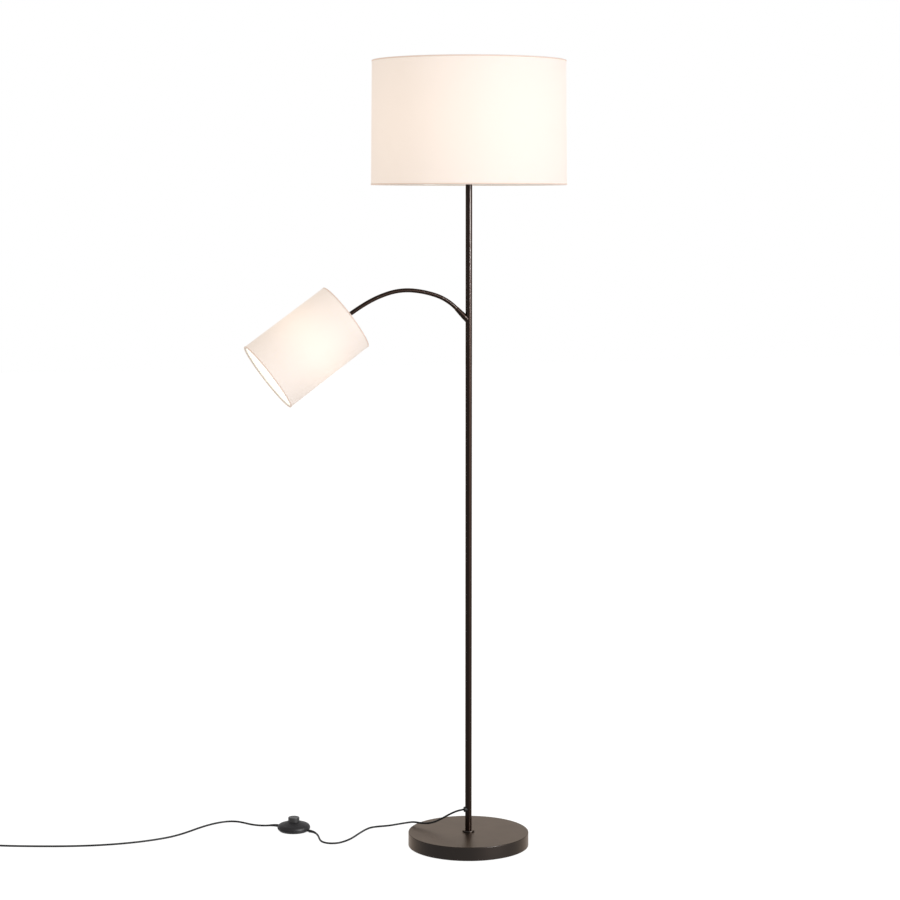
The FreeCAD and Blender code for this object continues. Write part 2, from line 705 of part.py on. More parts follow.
def switch_inside():
    """The contact unit with the hole for the button's stem, and the lead's ends."""
    frame = switch_frame()
    corner = Vector(-value("unit_length / 2"), -value("unit_width / 2"), value("switch_wall"))
    box = solid("Box", "unit_box", frame * Placement(corner, Rotation()), Length="unit_length",
                Width="unit_width", Height="unit_top - switch_wall")
    hole = tube("unit_hole", "0", "stem_diameter + 2 * button_gap", "guide_floor",
                "unit_top + switch_wall", frame)
    keep(cut("switch_unit", box, hole), "switch_unit")
    leads = []
    for number, side in enumerate((1, -1), start=1):
        out = outlet_frame(side)
        leads.append(bent(f"switch_lead_{number}", "RegularPolygon", up(value("unit_length / 2"), out),
                          [up(value("outlet_reach"), out).Base], Circumradius="cord_diameter / 2"))
    keep(group("switch_leads", *leads), "switch_leads")


def switch_button():
    """The foot button: a lip under the cover and a stem in the contact unit."""
    keep(turned("switch_button", [
        ("0", "stem_end"),
        ("stem_diameter / 2", "stem_end"),
        ("stem_diameter / 2", "lip_top - button_lip"),
        ("button_diameter / 2 + button_lip", "lip_top - button_lip"),
        ("button_diameter / 2 + button_lip", "lip_top"),
        ("button_diameter / 2", "lip_top"),
        ("button_diameter / 2", "button_top - button_bevel"),
        ("button_diameter / 2 - button_bevel", "button_top"),
        ("0", "button_top"),
    ], switch_frame()), "switch_button")


# ---- mains lead, coil and plug ---------------------------------------------------------------

# chosen by hand: over the base's rim, along the floor, round the switch and off to the coil
LAMP_ROUTE = (
    (-22, 2.2, 74.6), (-36, 10.5, 66.5), (-50, 21, 55.5), (-63, 33, 45.5), (-75, 46, 39.5),
    (-87, 60, 37.5), (-98, 77, 36.5), (-105, 98, 30), (-112, 121, 22.5), (-118.5, 144, 15),
    (-124, 160, 9.5), (-133, 175.5, 4.5), (-148, 184, 2.2), (-165, 181.5, 2), (-178.5, 169.5, 2),
    (-192, 153, 2), (-207, 132.5, 2), (-220, 114, 2), (-233, 99, 2), (-247, 87, 2),
    (-262, 79, 2), (-280, 82.5, 2), (-290.5, 97, 2), (-291.5, 116, 2), (-289.5, 134, 2.4),
    (-289, 151, 3.8), (-293.2, 168.9, 5),
)
MAINS_ROUTE = (
    (-363, 246.4, 4.4), (-379, 253, 2.6), (-395, 261.5, 2), (-409, 274, 2), (-421, 291.5, 2),
    (-433.5, 306, 2), (-451, 311.5, 2), (-470, 307.5, 2), (-489, 298.5, 2), (-508, 285.5, 2),
    (-527, 269.5, 2), (-546, 252, 2), (-566, 235.5, 2), (-589, 220.5, 2), (-616, 210, 2),
    (-650, 201, 2), (-690, 196, 2), (-732, 195.5, 2), (-776, 200, 2), (-820, 209, 2),
    (-863, 221, 2), (-900, 232.5, 2), (-930, 242.5, 2.1), (-958.1, 253.7, 2.5),
)


def coil_frame():
    """The coil's middle on the floor, +X back along the lead that enters it."""
    return Placement(Vector(value("coil_x"), value("coil_y"), 0), Rotation(UP, value("coil_angle")))


def arc(start, middle, end):
    return Part.Arc(start, middle, end).toShape()


def half_turns(edges, count, depth, radius, step, level):
    """Half turns from the coil's Y axis back to it. The return is where the last one ends."""
    for _ in range(count):
        side = -1 if depth < 0 else 1
        middle = depth - side * radius
        end = middle - side * radius
        crest = Vector(side * radius, middle, level)
        edges.append(arc(Vector(0, depth, level), crest, Vector(0, end, level)))
        depth = end
        radius += step
    return depth


def coil_edges():
    """Two layers: half turns spiral in, one climbs, and half turns spiral out again."""
    half_pitch = value("coil_pitch / 2")
    level = value("coil_height")
    straight = value("cord_diameter")
    radius = value("coil_radius")
    edges = [Part.LineSegment(Vector(straight, -radius, level), Vector(0, -radius, level)).toShape()]
    depth = half_turns(edges, 4, -radius, radius, -half_pitch, level)
    climb = math.hypot(depth, half_pitch)
    top = value("coil_height + coil_pitch")
    crest = Vector(-climb, 0, level + half_pitch)
    edges.append(arc(Vector(0, depth, level), crest, Vector(0, -depth, top)))
    depth = half_turns(edges, 5, -depth, abs(depth) + half_pitch, half_pitch, top)
    reach = abs(depth)
    diagonal = reach * math.sqrt(0.5)
    edges.append(arc(Vector(0, depth, top), Vector(-diagonal, -diagonal, top), Vector(-reach, 0, top)))
    edges.append(Part.LineSegment(Vector(-reach, 0, top), Vector(-reach, straight, top)).toShape())
    return edges, Vector(-reach, straight, top)


def least_gap(edges, diameter):
    """The least clear distance between stretches of a coil that aren't neighbours along it."""
    spine = Part.Wire(edges)
    points = spine.discretize(Distance=1.0)
    step = spine.Length / (len(points) - 1)
    apart = int(math.pi * value("coil_radius") / step)
    least = min(
        (points[one] - points[other]).Length
        for one in range(len(points))
        for other in range(one + apart, len(points))
    )
    return least - diameter


def cords():
    """The two free stretches of the lead and the coil. The return is the plug's place."""
    radius = value("cord_diameter / 2")
    start = Vector(-value("pole_diameter / 2 + grommet_stand"), 0, value("grommet_height"))
    outlets = [up(value("outlet_reach"), outlet_frame(side)).Base for side in (1, -1)]
    frame = coil_frame()
    wound, plug_start = coil_edges()
    coil_start = frame.multVec(wound[0].valueAt(wound[0].FirstParameter))
    routes = {
        "cord_lamp": [start, *(Vector(*point) for point in LAMP_ROUTE), outlets[0]],
        "cord_mains": [outlets[1], *(Vector(*point) for point in MAINS_ROUTE), coil_start],
    }
    for name, points in routes.items():
        edges, radii = rounded_route(points)
        print(f"{name}: arc radii " + " ".join(f"{arc:.0f}" for arc in radii))
        keep(swept(name, edges, radius, CORD_SIDES), name)
    print(f"cord_coil: least gap to itself {least_gap(wound, 2 * radius):.2f}")
    coil = keep(swept("cord_coil", wound, radius, COIL_SIDES), "cord_coil")
    coil.Placement = frame
    return frame * Placement(plug_start, Rotation(Vector(1, 0, 0), -90))


def coil_tie():
    """A band round the bundle, on the side away from the plug."""
    span = "coil_height + coil_pitch + cord_diameter / 2 + tie_gap - tie_thick"
    inner = value("coil_radius - 1.5 * coil_pitch - cord_diameter / 2 - tie_gap")
    boxes = []
    for name, skin in (("tie_outside", "tie_thick"), ("tie_inside", "0")):
        thick = value(skin)
        corner = Vector(inner - thick, -value("tie_width / 2"), value("tie_thick") - thick)
        boxes.append(solid("Box", name, coil_frame() * Placement(corner, Rotation()),
                           Length=f"2 * coil_pitch + cord_diameter + 2 * tie_gap + 2 * {skin}",
                           Width="tie_width", Height=f"{span} + 2 * {skin}"))
    keep(cut("coil_tie", *boxes), "coil_tie")


def plug(frame):
    """A tapered relief, a flat moulded body and two round pins, one after the other along +Z."""
    relief = DOC.addObject("Part::Loft", "plug_relief")
    relief.Sections = [
        solid("RegularPolygon", "relief_start", frame, Circumradius="relief_thin / 2"),
        solid("RegularPolygon", "relief_end", up(value("relief_length"), frame),
              Circumradius="relief_thick / 2"),
    ]
    for section in relief.Sections:
        section.Polygon = RELIEF_SIDES
    relief.Solid = True
    relief.Ruled = True
    keep(relief, "plug_relief")
    body = DOC.addObject("PartDesign::Body", "plug_body")
    sketch = outlined(body, "XZ_Plane", [
        ("0 - plug_tail / 2", "relief_length"),
        ("plug_tail / 2", "relief_length"),
        ("plug_width / 2", "relief_length + plug_shoulder"),
        ("plug_width / 2", "relief_length + plug_length"),
        ("0 - plug_width / 2", "relief_length + plug_length"),
        ("0 - plug_width / 2", "relief_length + plug_shoulder"),
    ])
    pad = body.newObject("PartDesign::Pad", "plug_pad")
    pad.Profile = sketch
    pad.setExpression("Length", bound("plug_thick"))
    pad.Midplane = True
    DOC.recompute()
    flat_edges = [
        f"Edge{number}" for number, edge in enumerate(pad.Shape.Edges, start=1)
        if abs(edge.Vertexes[0].Y - edge.Vertexes[1].Y) < 0.001
    ]
    bevel = body.newObject("PartDesign::Chamfer", "plug_edges")
    bevel.Base = (pad, flat_edges)
    bevel.setExpression("Size", bound("plug_bevel"))
    body.Tip = bevel
    body.Placement = frame
    keep(body, "plug_body")
    pins = []
    for number, side in enumerate((-1, 1), start=1):
        foot = Vector(side * value("pin_spacing / 2"), 0, value("relief_length + plug_length"))
        pins.append(solid("Cylinder", f"plug_pin_{number}", frame * Placement(foot, Rotation()),
                          Radius="pin_diameter / 2", Height="pin_length"))
    keep(group("plug_pins", *pins), "plug_pins")


# ---- build, check and write ------------------------------------------------------------------

base()
pole()
threaded_tubes()
grommet()
pole_lead()
ferrule()
reading_light(neck())
main_light()
switch_base()
switch_cover()
switch_inside()
switch_button()
plug(cords())
coil_tie()
DOC.recompute()

for thing in DOC.Objects:
    if {"Invalid", "Error"} & set(thing.State):
        raise RuntimeError(f"{thing.Label} can't be computed: {thing.State}")
for piece in NODES:
    if piece.Shape.isNull() or not piece.Shape.isValid():
        raise RuntimeError(f"{piece.Label} has no valid shape")

os.makedirs("parts", exist_ok=True)
for piece in NODES:
    piece.Shape.exportStep(f"parts/{piece.Label}.step")
print(f"{len(NODES)} sub-parts written")
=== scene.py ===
# %% [markdown]
# # A floor lamp with a reading light
#
# This file dresses a finished CAD model of a floor lamp for a render. The CAD says where every piece
# is and how it moves. What is made here is what a camera cares about: rounded edges, the ribs of the
# flexible neck, the weave of the shades, a soft cord and honest materials. Each step first says what
# the real piece is, and then makes it.

# %% Load the CAD model as a fixed frame
import bmesh
import bpy
import json
import math
from mathutils import Matrix, Vector


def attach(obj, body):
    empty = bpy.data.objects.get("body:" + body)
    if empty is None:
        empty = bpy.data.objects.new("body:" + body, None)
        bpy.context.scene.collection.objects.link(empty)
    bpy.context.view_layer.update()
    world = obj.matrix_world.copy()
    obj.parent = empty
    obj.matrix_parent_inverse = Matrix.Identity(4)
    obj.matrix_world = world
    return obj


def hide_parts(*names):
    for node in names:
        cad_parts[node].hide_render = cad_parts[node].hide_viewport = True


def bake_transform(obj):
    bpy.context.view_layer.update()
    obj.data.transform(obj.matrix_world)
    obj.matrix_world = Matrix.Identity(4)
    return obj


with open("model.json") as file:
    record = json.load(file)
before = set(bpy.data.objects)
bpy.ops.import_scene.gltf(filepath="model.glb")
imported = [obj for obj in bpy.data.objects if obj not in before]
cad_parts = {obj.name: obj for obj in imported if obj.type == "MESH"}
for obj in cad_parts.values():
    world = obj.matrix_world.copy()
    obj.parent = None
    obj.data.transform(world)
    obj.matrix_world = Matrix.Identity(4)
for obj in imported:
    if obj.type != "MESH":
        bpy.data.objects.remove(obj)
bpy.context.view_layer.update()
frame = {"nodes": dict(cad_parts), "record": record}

# %% [markdown]
# ## Units
#
# The CAD drawing is in millimetres, as furniture drawings are, and the scene is in metres. The lamp's
# sizes below are written in millimetres, and one factor turns them into metres. A pattern needs the
# opposite: how many times a real size fits in a metre. Only the camera, the floor and the lights,
# which stand metres away, are placed in metres.

# %% Millimetres and patterns
MM = 0.001


def point(x, y, z):
    """A point given in millimetres."""
    return Vector((x, y, z)) * MM


def per_metre(size):
    """The scale of a pattern whose feature has this size in millimetres."""
    return 1 / (size * MM)


print(f"1 mm is {MM} m, and a pattern of 2 mm repeats {per_metre(2):.0f} times in a metre")

# %% [markdown]
# ## The camera
#
# A product photograph of something tall is taken from some way off with a long lens, so that upright
# lines stay upright. The camera stands 4.75 m away, measured along the floor, and a little above the
# reading light, with a lens of 93 mm. It looks 6 degrees down, which is why the base shows its top as
# a flat ellipse.

# %% Camera
CAMERA_PLACE = (-1.3021, -4.5710, 1.3306)
CAMERA_TURN = (83.968, 0, -15.4385)
SENSOR_WIDTH = 36
FOCAL_LENGTH = 93.33

lens = bpy.data.cameras.new("camera")
lens.sensor_width = SENSOR_WIDTH
lens.lens = FOCAL_LENGTH
camera = bpy.data.objects.new("camera", lens)
camera.location = CAMERA_PLACE
camera.rotation_euler = [math.radians(angle) for angle in CAMERA_TURN]
bpy.context.scene.collection.objects.link(camera)
bpy.context.scene.camera = camera
print(f"lens {FOCAL_LENGTH} mm, {camera.location.xy.length:.2f} m from the lamp's foot along the floor")

# %% [markdown]
# ## Places that follow the drawing
#
# The flexible neck is a chain of five links of equal length, each bent by its own angle. The
# reading light hangs on the last one, so its place comes from walking along the neck. Working it out
# here keeps every piece of the reading light in the shade's own frame, where +Z is the shade's axis.

# %% Walk along the neck
ARM_HEIGHT = 1092.2
ARM_SLOPE = 45
FERRULE_LENGTH = 36.9
NECK_START = 37.9
LINK = 50.3
LINK_TURNS = (26.2, 13.8, 21.6, 13, 6.6)
NECK_LENGTH = LINK * len(LINK_TURNS)
MAIN_BOTTOM = 1367.6
SWITCH_PLACE = (-328, 207.5, 0)
SWITCH_TURN = -48
COIL_PLACE = (-983.6, 288.5, 0)
COIL_TURN = -15.9


def along_neck(reach):
    """The neck's centre line at a length from its first joint: the place, and the rise in degrees."""
    rise = ARM_SLOPE
    start = math.radians(rise)
    x = -NECK_START * math.cos(start)
    z = ARM_HEIGHT + NECK_START * math.sin(start)
    for turn in LINK_TURNS:
        step = min(max(reach, 0), LINK)
        before = math.radians(rise)
        after = math.radians(rise - turn * step / LINK)
        radius = LINK / math.radians(turn)
        x -= radius * (math.sin(before) - math.sin(after))
        z += radius * (math.cos(after) - math.cos(before))
        rise -= turn * step / LINK
        reach -= step
        if reach <= 0:
            break
    heading = math.radians(rise)
    return point(x - reach * math.cos(heading), 0, z + reach * math.sin(heading)), rise


def placed(place, turn, axis):
    """A frame at a place in metres, turned by some degrees about one axis."""
    return Matrix.Translation(place) @ Matrix.Rotation(math.radians(turn), 4, axis)


head_place, head_rise = along_neck(NECK_LENGTH)
HEAD = placed(head_place, head_rise - 90, "Y")
ARM = placed(point(0, 0, ARM_HEIGHT), ARM_SLOPE - 90, "Y")
MAIN = Matrix.Translation(point(0, 0, MAIN_BOTTOM))
SWITCH = placed(point(*SWITCH_PLACE), SWITCH_TURN, "Z")
COIL = placed(point(*COIL_PLACE), COIL_TURN, "Z")
print(f"the reading light starts {head_place.z:.3f} m up and dips {-head_rise:.1f} degrees")

# %% [markdown]
# ## Rounded corners
#
# No real edge is perfectly sharp, and a thin line of light on an edge is what makes it look real. So
# a piece is drawn as an outline of corners, and a corner with a third number is rounded to that
# radius. A bevel on the finished mesh could do it too, but it would give each corner the same round.

# %% Corners with a radius
ROUND_STEPS = 6
NEARLY_STRAIGHT = 89
LONG_SIDE = 3


def rounded(corners):
    """The outline's points, with each corner that has a third number rounded to that radius.

    On a long side, one more point stands just beyond the round, so that its shading ends there and
    doesn't run on down the whole side.
    """
    points = []
    for index, corner in enumerate(corners):
        here = Vector(corner[:2])
        radius = corner[2] if len(corner) > 2 else 0
        back = Vector(corners[index - 1][:2]) - here
        on = Vector(corners[(index + 1) % len(corners)][:2]) - here
        side_back, side_on = back.length, on.length
        back.normalize()
        on.normalize()
        half = back.angle(on) / 2
        if not radius or half > math.radians(NEARLY_STRAIGHT):
            points.append(here)
            continue
        centre = here + (back + on).normalized() * radius / math.sin(half)
        start = here + back * radius / math.tan(half)
        end = here + on * radius / math.tan(half)
        sweep = (start - centre).angle_signed(end - centre)
        beyond = radius / math.tan(half) + radius / 2
        if side_back > LONG_SIDE * beyond:
            points.append(here + back * beyond)
        for step in range(ROUND_STEPS + 1):
            spoke = (start - centre).copy()
            spoke.rotate(Matrix.Rotation(-sweep * step / ROUND_STEPS, 2))
            points.append(centre + spoke)
        if side_on > LONG_SIDE * beyond:
            points.append(here + on * beyond)
    return points


print(f"a rounded corner has {ROUND_STEPS + 1} points")

# %% [markdown]
# ## Turned pieces
#
# Almost every piece of a lamp is turned, spun or moulded round. Such a piece needs only half of its
# section, as an outline of radius and height, which is carried round the Z axis. Where the outline
# touches the axis, its points fall together, so each mesh is cleaned before it is used. Flat and
# round parts are then shaded smoothly, and only real edges stay sharp.

# %% Outlines carried round an axis
SHARP_EDGE = 38
SAME_PLACE = 1e-6


def cleaned(mesh):
    """Joins doubled points, as on a turned piece's axis, and turns all faces outwards."""
    work = bmesh.new()
    work.from_mesh(mesh)
    bmesh.ops.remove_doubles(work, verts=work.verts, dist=SAME_PLACE)
    bmesh.ops.dissolve_degenerate(work, edges=work.edges, dist=SAME_PLACE / 10)
    bmesh.ops.recalc_face_normals(work, faces=work.faces)
    work.to_mesh(mesh)
    work.free()
    mesh.shade_smooth()
    mesh.set_sharp_from_angle(angle=math.radians(SHARP_EDGE))
    return mesh


def turned(name, corners, sides=64):
    """A mesh turned about Z from a closed outline of (radius, height) corners in millimetres."""
    outline = rounded(corners)
    count = len(outline)
    verts = []
    for side in range(sides):
        angle = 2 * math.pi * side / sides
        verts += [point(r * math.cos(angle), r * math.sin(angle), z) for r, z in outline]
    faces = []
    for side in range(sides):
        here, there = side * count, (side + 1) % sides * count
        for row in range(count):
            after = (row + 1) % count
            faces.append((here + row, there + row, there + after, here + after))
    mesh = bpy.data.meshes.new(name)
    mesh.from_pydata(verts, [], faces)
    return cleaned(mesh)


print(f"edges of more than {SHARP_EDGE} degrees stay sharp")

# %% [markdown]
# ## Wire and tube
#
# A ring, a spoke, the neck's skin and the strain reliefs are all a round section carried along a path,
# with a radius that may change on the way. The section is turned as little as possible from one point
# to the next, so that it doesn't twist.

# %% Bars along a path
BAR_SIDES = 16


def bar(name, path, radii, sides=BAR_SIDES, closed=False):
    """A mesh along a path in metres, with a radius in millimetres at each of its points."""
    count = len(path)
    last_side = None
    verts = []
    for index, place in enumerate(path):
        before = path[index - 1] if index or closed else place
        after = path[(index + 1) % count] if index < count - 1 or closed else place
        heading = (after - before).normalized()
        if last_side is None:
            last_side = heading.orthogonal()
        last_side = (last_side - heading * last_side.dot(heading)).normalized()
        up = heading.cross(last_side)
        for side in range(sides):
            angle = 2 * math.pi * side / sides
            spoke = last_side * math.cos(angle) + up * math.sin(angle)
            verts.append(place + spoke * radii[index] * MM)
    faces = []
    for index in range(count if closed else count - 1):
        here, there = index * sides, (index + 1) % count * sides
        for side in range(sides):
            after = (side + 1) % sides
            faces.append((here + side, here + after, there + after, there + side))
    if not closed:
        faces.append(tuple(reversed(range(sides))))
        faces.append(tuple(range((count - 1) * sides, count * sides)))
    mesh = bpy.data.meshes.new(name)
    mesh.from_pydata(verts, [], faces)
    return cleaned(mesh)


print(f"a bar has {BAR_SIDES} sides unless a piece asks for others")

# %% [markdown]
# ## Where a piece goes
#
# A mesh becomes a piece of the lamp when it has its finish and, if one is given, the body that carries
# it when the lamp moves. The CAD nodes that it stands for are hidden. All pieces except the lead pass
# through this one function.

# %% Pieces in the scene
def piece(mesh, finish, body, nodes=(), place=None):
    """Puts a mesh in the scene, with its finish, its body and the CAD nodes that it stands for."""
    thing = bpy.data.objects.new(mesh.name, mesh)
    mesh.materials.append(finish)
    if place is not None:
        thing.matrix_world = place
    bpy.context.scene.collection.objects.link(thing)
    if body:
        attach(thing, body)
    if nodes:
        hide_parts(*nodes)
    return thing


# %% [markdown]
# ## Colours and nodes
#
# A colour picked from a swatch is written as an sRGB hex value, but a renderer works with linear
# light, so one function does that sum. One more function adds a shader node, sets it and joins it up,
# which keeps each material below short enough to read as a recipe.

# %% Helpers for materials
def colour(code):
    """A linear colour from an sRGB hex value."""
    channels = [int(code[start:start + 2], 16) / 255 for start in (1, 3, 5)]
    return [c / 12.92 if c <= 0.04045 else ((c + 0.055) / 1.055) ** 2.4 for c in channels] + [1]


def add(material, kind, inputs=None, to=None, **settings):
    """One node with its settings. An input takes a value, a socket or another node's first output.

    to is the socket that the new node's first output goes to.
    """
    node = material.node_tree.nodes.new("ShaderNode" + kind)
    for name, setting in settings.items():
        setattr(node, name, setting)
    links = material.node_tree.links
    for name, given in (inputs or {}).items():
        if isinstance(given, bpy.types.Node):
            links.new(given.outputs[0], node.inputs[name])
        elif isinstance(given, bpy.types.NodeSocket):
            links.new(given, node.inputs[name])
        else:
            node.inputs[name].default_value = given
    if to:
        links.new(node.outputs[0], to)
    return node


def finish_of(name, **sockets):
    """A new material and its shader, with the shader's plain sockets set, colours as hex values."""
    material = bpy.data.materials.new(name)
    material.use_nodes = True
    shader = material.node_tree.nodes["Principled BSDF"]
    for socket, given in sockets.items():
        plain = colour(given) if isinstance(given, str) else given
        shader.inputs[socket.replace("_", " ")].default_value = plain
    return material, shader


print(f"a grey of #808080 is {colour('#808080')[0]:.3f} in linear light")

# %% [markdown]
# ## Dark bronze powder coat
#
# The pole, the base and the neck are steel with a baked powder coat. The powder holds fine bronze
# flakes, so it shines like a very dark, rough metal: seen straight on it is nearly black, and seen at
# a low angle, as on top of the base, it mirrors the bright room in brown. A thin clear coat lies over
# it. On the tubes it is thin and smooth, and adds the narrow pale streak that a lamp leaves on a tube.
# On the base it is thicker and matt, so that the base mirrors no more than a blur of the pole. The
# surface has a faint orange peel, as every baked powder has.

# %% Powder-coated steel
PEEL = 1.2
PEEL_HEIGHT = 0.03
PEEL_STRENGTH = 0.04
PATCH = 40
FLAKE_ROUGHNESS = 0.44
ROUGHNESS_SPREAD = 0.04
BROWN_AT_A_GLANCE = "#fce6d3"


def powder_coat(name, clear, clear_roughness, dark, light):
    """Bronze powder in two close tones, under a clear coat of some weight and roughness."""
    material, shader = finish_of(name, Metallic=1.0, Specular_Tint=BROWN_AT_A_GLANCE, Coat_IOR=1.5,
                                 Coat_Weight=clear, Coat_Roughness=clear_roughness)
    where = add(material, "TexCoord").outputs["Object"]
    patches = add(material, "TexNoise", {"Vector": where, "Scale": per_metre(PATCH), "Detail": 3.0})
    add(material, "MixRGB", {"Fac": patches, "Color1": colour(dark), "Color2": colour(light)},
        to=shader.inputs["Base Color"])
    add(material, "MapRange", {
        "Value": patches, "To Min": FLAKE_ROUGHNESS - ROUGHNESS_SPREAD,
        "To Max": FLAKE_ROUGHNESS + ROUGHNESS_SPREAD,
    }, to=shader.inputs["Roughness"])
    peel = add(material, "TexNoise", {"Vector": where, "Scale": per_metre(PEEL), "Detail": 1.0})
    add(material, "Bump", {"Height": peel, "Strength": PEEL_STRENGTH, "Distance": PEEL_HEIGHT * MM},
        to=shader.inputs["Normal"])
    return material


BRONZE = powder_coat("powder-coated steel, dark bronze, satin", clear=0.15, clear_roughness=0.18,
                     dark="#130c08", light="#190f0b")
BRONZE_MATT = powder_coat("powder-coated steel, dark bronze, matt", clear=0.38, clear_roughness=0.34,
                          dark="#140d09", light="#1b130d")
print(f"{BRONZE.name}: orange peel every {PEEL} mm")

# %% [markdown]
# ## Linen on a stiff backing
#
# A drum shade is linen glued to a clear plastic sheet, rolled round two wire rings. Its threads are
# about half a millimetre apart, too fine to see from across a room, but linen yarn has slubs, thick
# places a few centimetres long, and these show as faint streaks both ways. They are drawn about four
# times too coarse so that they show at all.
#
# The lamp is lit. Light from the bulb falls on the cloth from inside, and its strength drops with the
# cube of the distance from the bulb to the cloth: squared because light spreads, and once more because
# it arrives at a slant. That is painted as a glow in the cloth itself, in the cloth's own frame, so it
# is right from every side. A share of the glow is even, as the white inside spreads it about.

# %% Linen that glows
SLUB_LENGTH = 30
SLUB_WIDTH = 2.2
SLUB_HEIGHT = 0.1
SLUB_TONE = 0.955
WEAVE = "#f0ebe8"
WARM = "#ffe2c6"


def linen(name, radius, bulb_height, even, glow):
    """The cloth of one shade. even is the share of the glow that the inside spreads all over."""
    material, shader = finish_of(name, Roughness=0.85, Sheen_Weight=0.15, Sheen_Roughness=0.5,
                                 Emission_Strength=glow)
    cloth = add(material, "UVMap", uv_map="cloth")
    long, thin = per_metre(SLUB_LENGTH), per_metre(SLUB_WIDTH)
    across = add(material, "Mapping", {"Vector": cloth, "Scale": (long, thin, 1)})
    down = add(material, "Mapping", {"Vector": cloth, "Scale": (thin, long, 1)})
    weft = add(material, "TexNoise", {"Vector": across, "Scale": 1.0, "Detail": 3.0})
    warp = add(material, "TexNoise", {"Vector": down, "Scale": 1.0, "Detail": 3.0})
    yarn = add(material, "Math", {0: weft, 1: warp}, operation="ADD")
    streak = add(material, "MapRange", {
        "Value": yarn, "From Min": 0.7, "From Max": 1.3, "To Min": SLUB_TONE, "To Max": 1.0,
    })
    add(material, "MixRGB", {"Fac": 1.0, "Color1": colour(WEAVE), "Color2": streak},
        to=shader.inputs["Base Color"], blend_type="MULTIPLY")
    add(material, "Bump", {"Height": yarn, "Strength": 0.25, "Distance": SLUB_HEIGHT * MM},
        to=shader.inputs["Normal"])
    height = add(material, "SeparateXYZ", {"Vector": cloth}).outputs["Y"]
    away = add(material, "Math", {0: height, 1: bulb_height * MM}, operation="SUBTRACT")
    share = add(material, "Math", {0: away, 1: radius * MM}, operation="DIVIDE")
    squared = add(material, "Math", {0: share, 1: share, 2: 1.0}, operation="MULTIPLY_ADD")
    falloff = add(material, "Math", {0: squared, 1: -1.5}, operation="POWER")
    level = add(material, "Math", {0: falloff, 1: 1 - even, 2: even}, operation="MULTIPLY_ADD")
    lit = add(material, "Math", {0: level, 1: streak}, operation="MULTIPLY")
    add(material, "MixRGB", {"Fac": lit, "Color1": colour("#000000"), "Color2": colour(WARM)},
        to=shader.inputs["Emission Color"])
    return material


MAIN_LINEN = linen("linen on styrene, main shade", radius=197, bulb_height=124, even=0.72, glow=0.41)
READING_LINEN = linen("linen on styrene, reading shade", radius=74, bulb_height=94, even=0.58, glow=0.47)
print(f"linen slubs {SLUB_LENGTH} by {SLUB_WIDTH} mm")

# %% [markdown]
# ## Inside and edge of a shade
#
# Inside, a shade is the bare plastic sheet: smooth and white. The bulb's light on it is painted as an
# even glow, so it hardly shows any form. At the edges the linen is rolled over a wire, where it lies
# double and lets little light through. That is why a lit shade has a darker, pinker line along its top
# and bottom. Here that line is painted shade: a darker, pinker tone with a weaker painted glow.

# %% Lining and hem
def lit_through(name, roughness, glow, dark, light, pattern, strength):
    """A finish with an even painted glow, in two close tones with a pattern of a real size in millimetres.
    """
    material, shader = finish_of(name, Roughness=roughness, Emission_Strength=strength,
                                 Emission_Color=glow)
    where = add(material, "TexCoord").outputs["Object"]
    haze = add(material, "TexNoise", {"Vector": where, "Scale": per_metre(pattern), "Detail": 2.0})
    add(material, "MixRGB", {"Fac": haze, "Color1": colour(dark), "Color2": colour(light)},
        to=shader.inputs["Base Color"])
    return material


# The lining's even glow is painted light: the bulb's light on the inside of the sheet.
LINING = lit_through("styrene lining, lit", 0.5, "#fffaf4", "#f2efe8", "#f9f7f2", pattern=25, strength=0.4)
# The hem's darker, pinker tone and weaker glow are painted shade, where ring and double cloth hold back
# light.
HEM_PAINTED_SHADE = lit_through("linen rolled round the ring, painted shade", 0.85, WARM, "#d6c5bd", "#e0d1ca", pattern=SLUB_WIDTH,
                  strength=0.24)
print(f"made {LINING.name} and {HEM_PAINTED_SHADE.name}")

# %% [markdown]
# ## Metals, glass and plastics in the lamp
#
# The rings and spokes are steel wire with white enamel. The lampholders are white thermoset plastic,
# which stays stiff when it is hot and has a dull, slightly yellow white. A bulb is glass, frosted
# inside, on an aluminium cap. Zinc plate, raw cast iron and a foam pad hide in the base. The lead is
# soft black plastic and the foot switch hard black plastic. Each is one small recipe: a tone that
# varies a little, because nothing real is one flat colour, and a grain. Every node of the drawing
# then gets the finish of its slot.

# %% Small recipes
def grained(name, dark, light, roughness, grain, bump_height=0.02, **sockets):
    """A finish whose tone and surface vary with a grain of a real size in millimetres."""
    material, shader = finish_of(name, Roughness=roughness, **sockets)
    where = add(material, "TexCoord").outputs["Object"]
    specks = add(material, "TexNoise", {"Vector": where, "Scale": per_metre(grain), "Detail": 2.0})
    add(material, "MixRGB", {"Fac": specks, "Color1": colour(dark), "Color2": colour(light)},
        to=shader.inputs["Base Color"])
    add(material, "Bump", {"Height": specks, "Strength": 0.3, "Distance": bump_height * MM},
        to=shader.inputs["Normal"])
    return material


ENAMEL = grained("white enamel on steel wire", "#dedbd3", "#ebe8e1", 0.35, 6)
THERMOSET = grained("thermoset plastic, white", "#dcd9cf", "#e9e6dd", 0.45, 3)
CAP_METAL = grained("aluminium, rolled thread", "#c4c4c4", "#dcdcdc", 0.3, 2, Metallic=1.0)
ZINC = grained("zinc-plated steel", "#b3b1a8", "#cfcdc6", 0.35, 3, Metallic=1.0)
IRON = grained("cast iron, raw", "#3b3a39", "#52504e", 0.7, 1.5, 0.2)
FOAM = grained("foam rubber, black", "#1c1c1c", "#2a2a2a", 0.9, 0.8, 0.1)
RUBBER = grained("nitrile rubber, black", "#0f0e0e", "#171616", 0.6, 2, Specular_IOR_Level=0.2)
SHEATH = grained("soft PVC sheath, black", "#0a0b0c", "#111214", 0.5, 1.6, Specular_IOR_Level=0.2)
ABS = grained("ABS, moulded black", "#1c1b1d", "#252427", 0.5, 0.7, 0.03, Specular_IOR_Level=0.2)
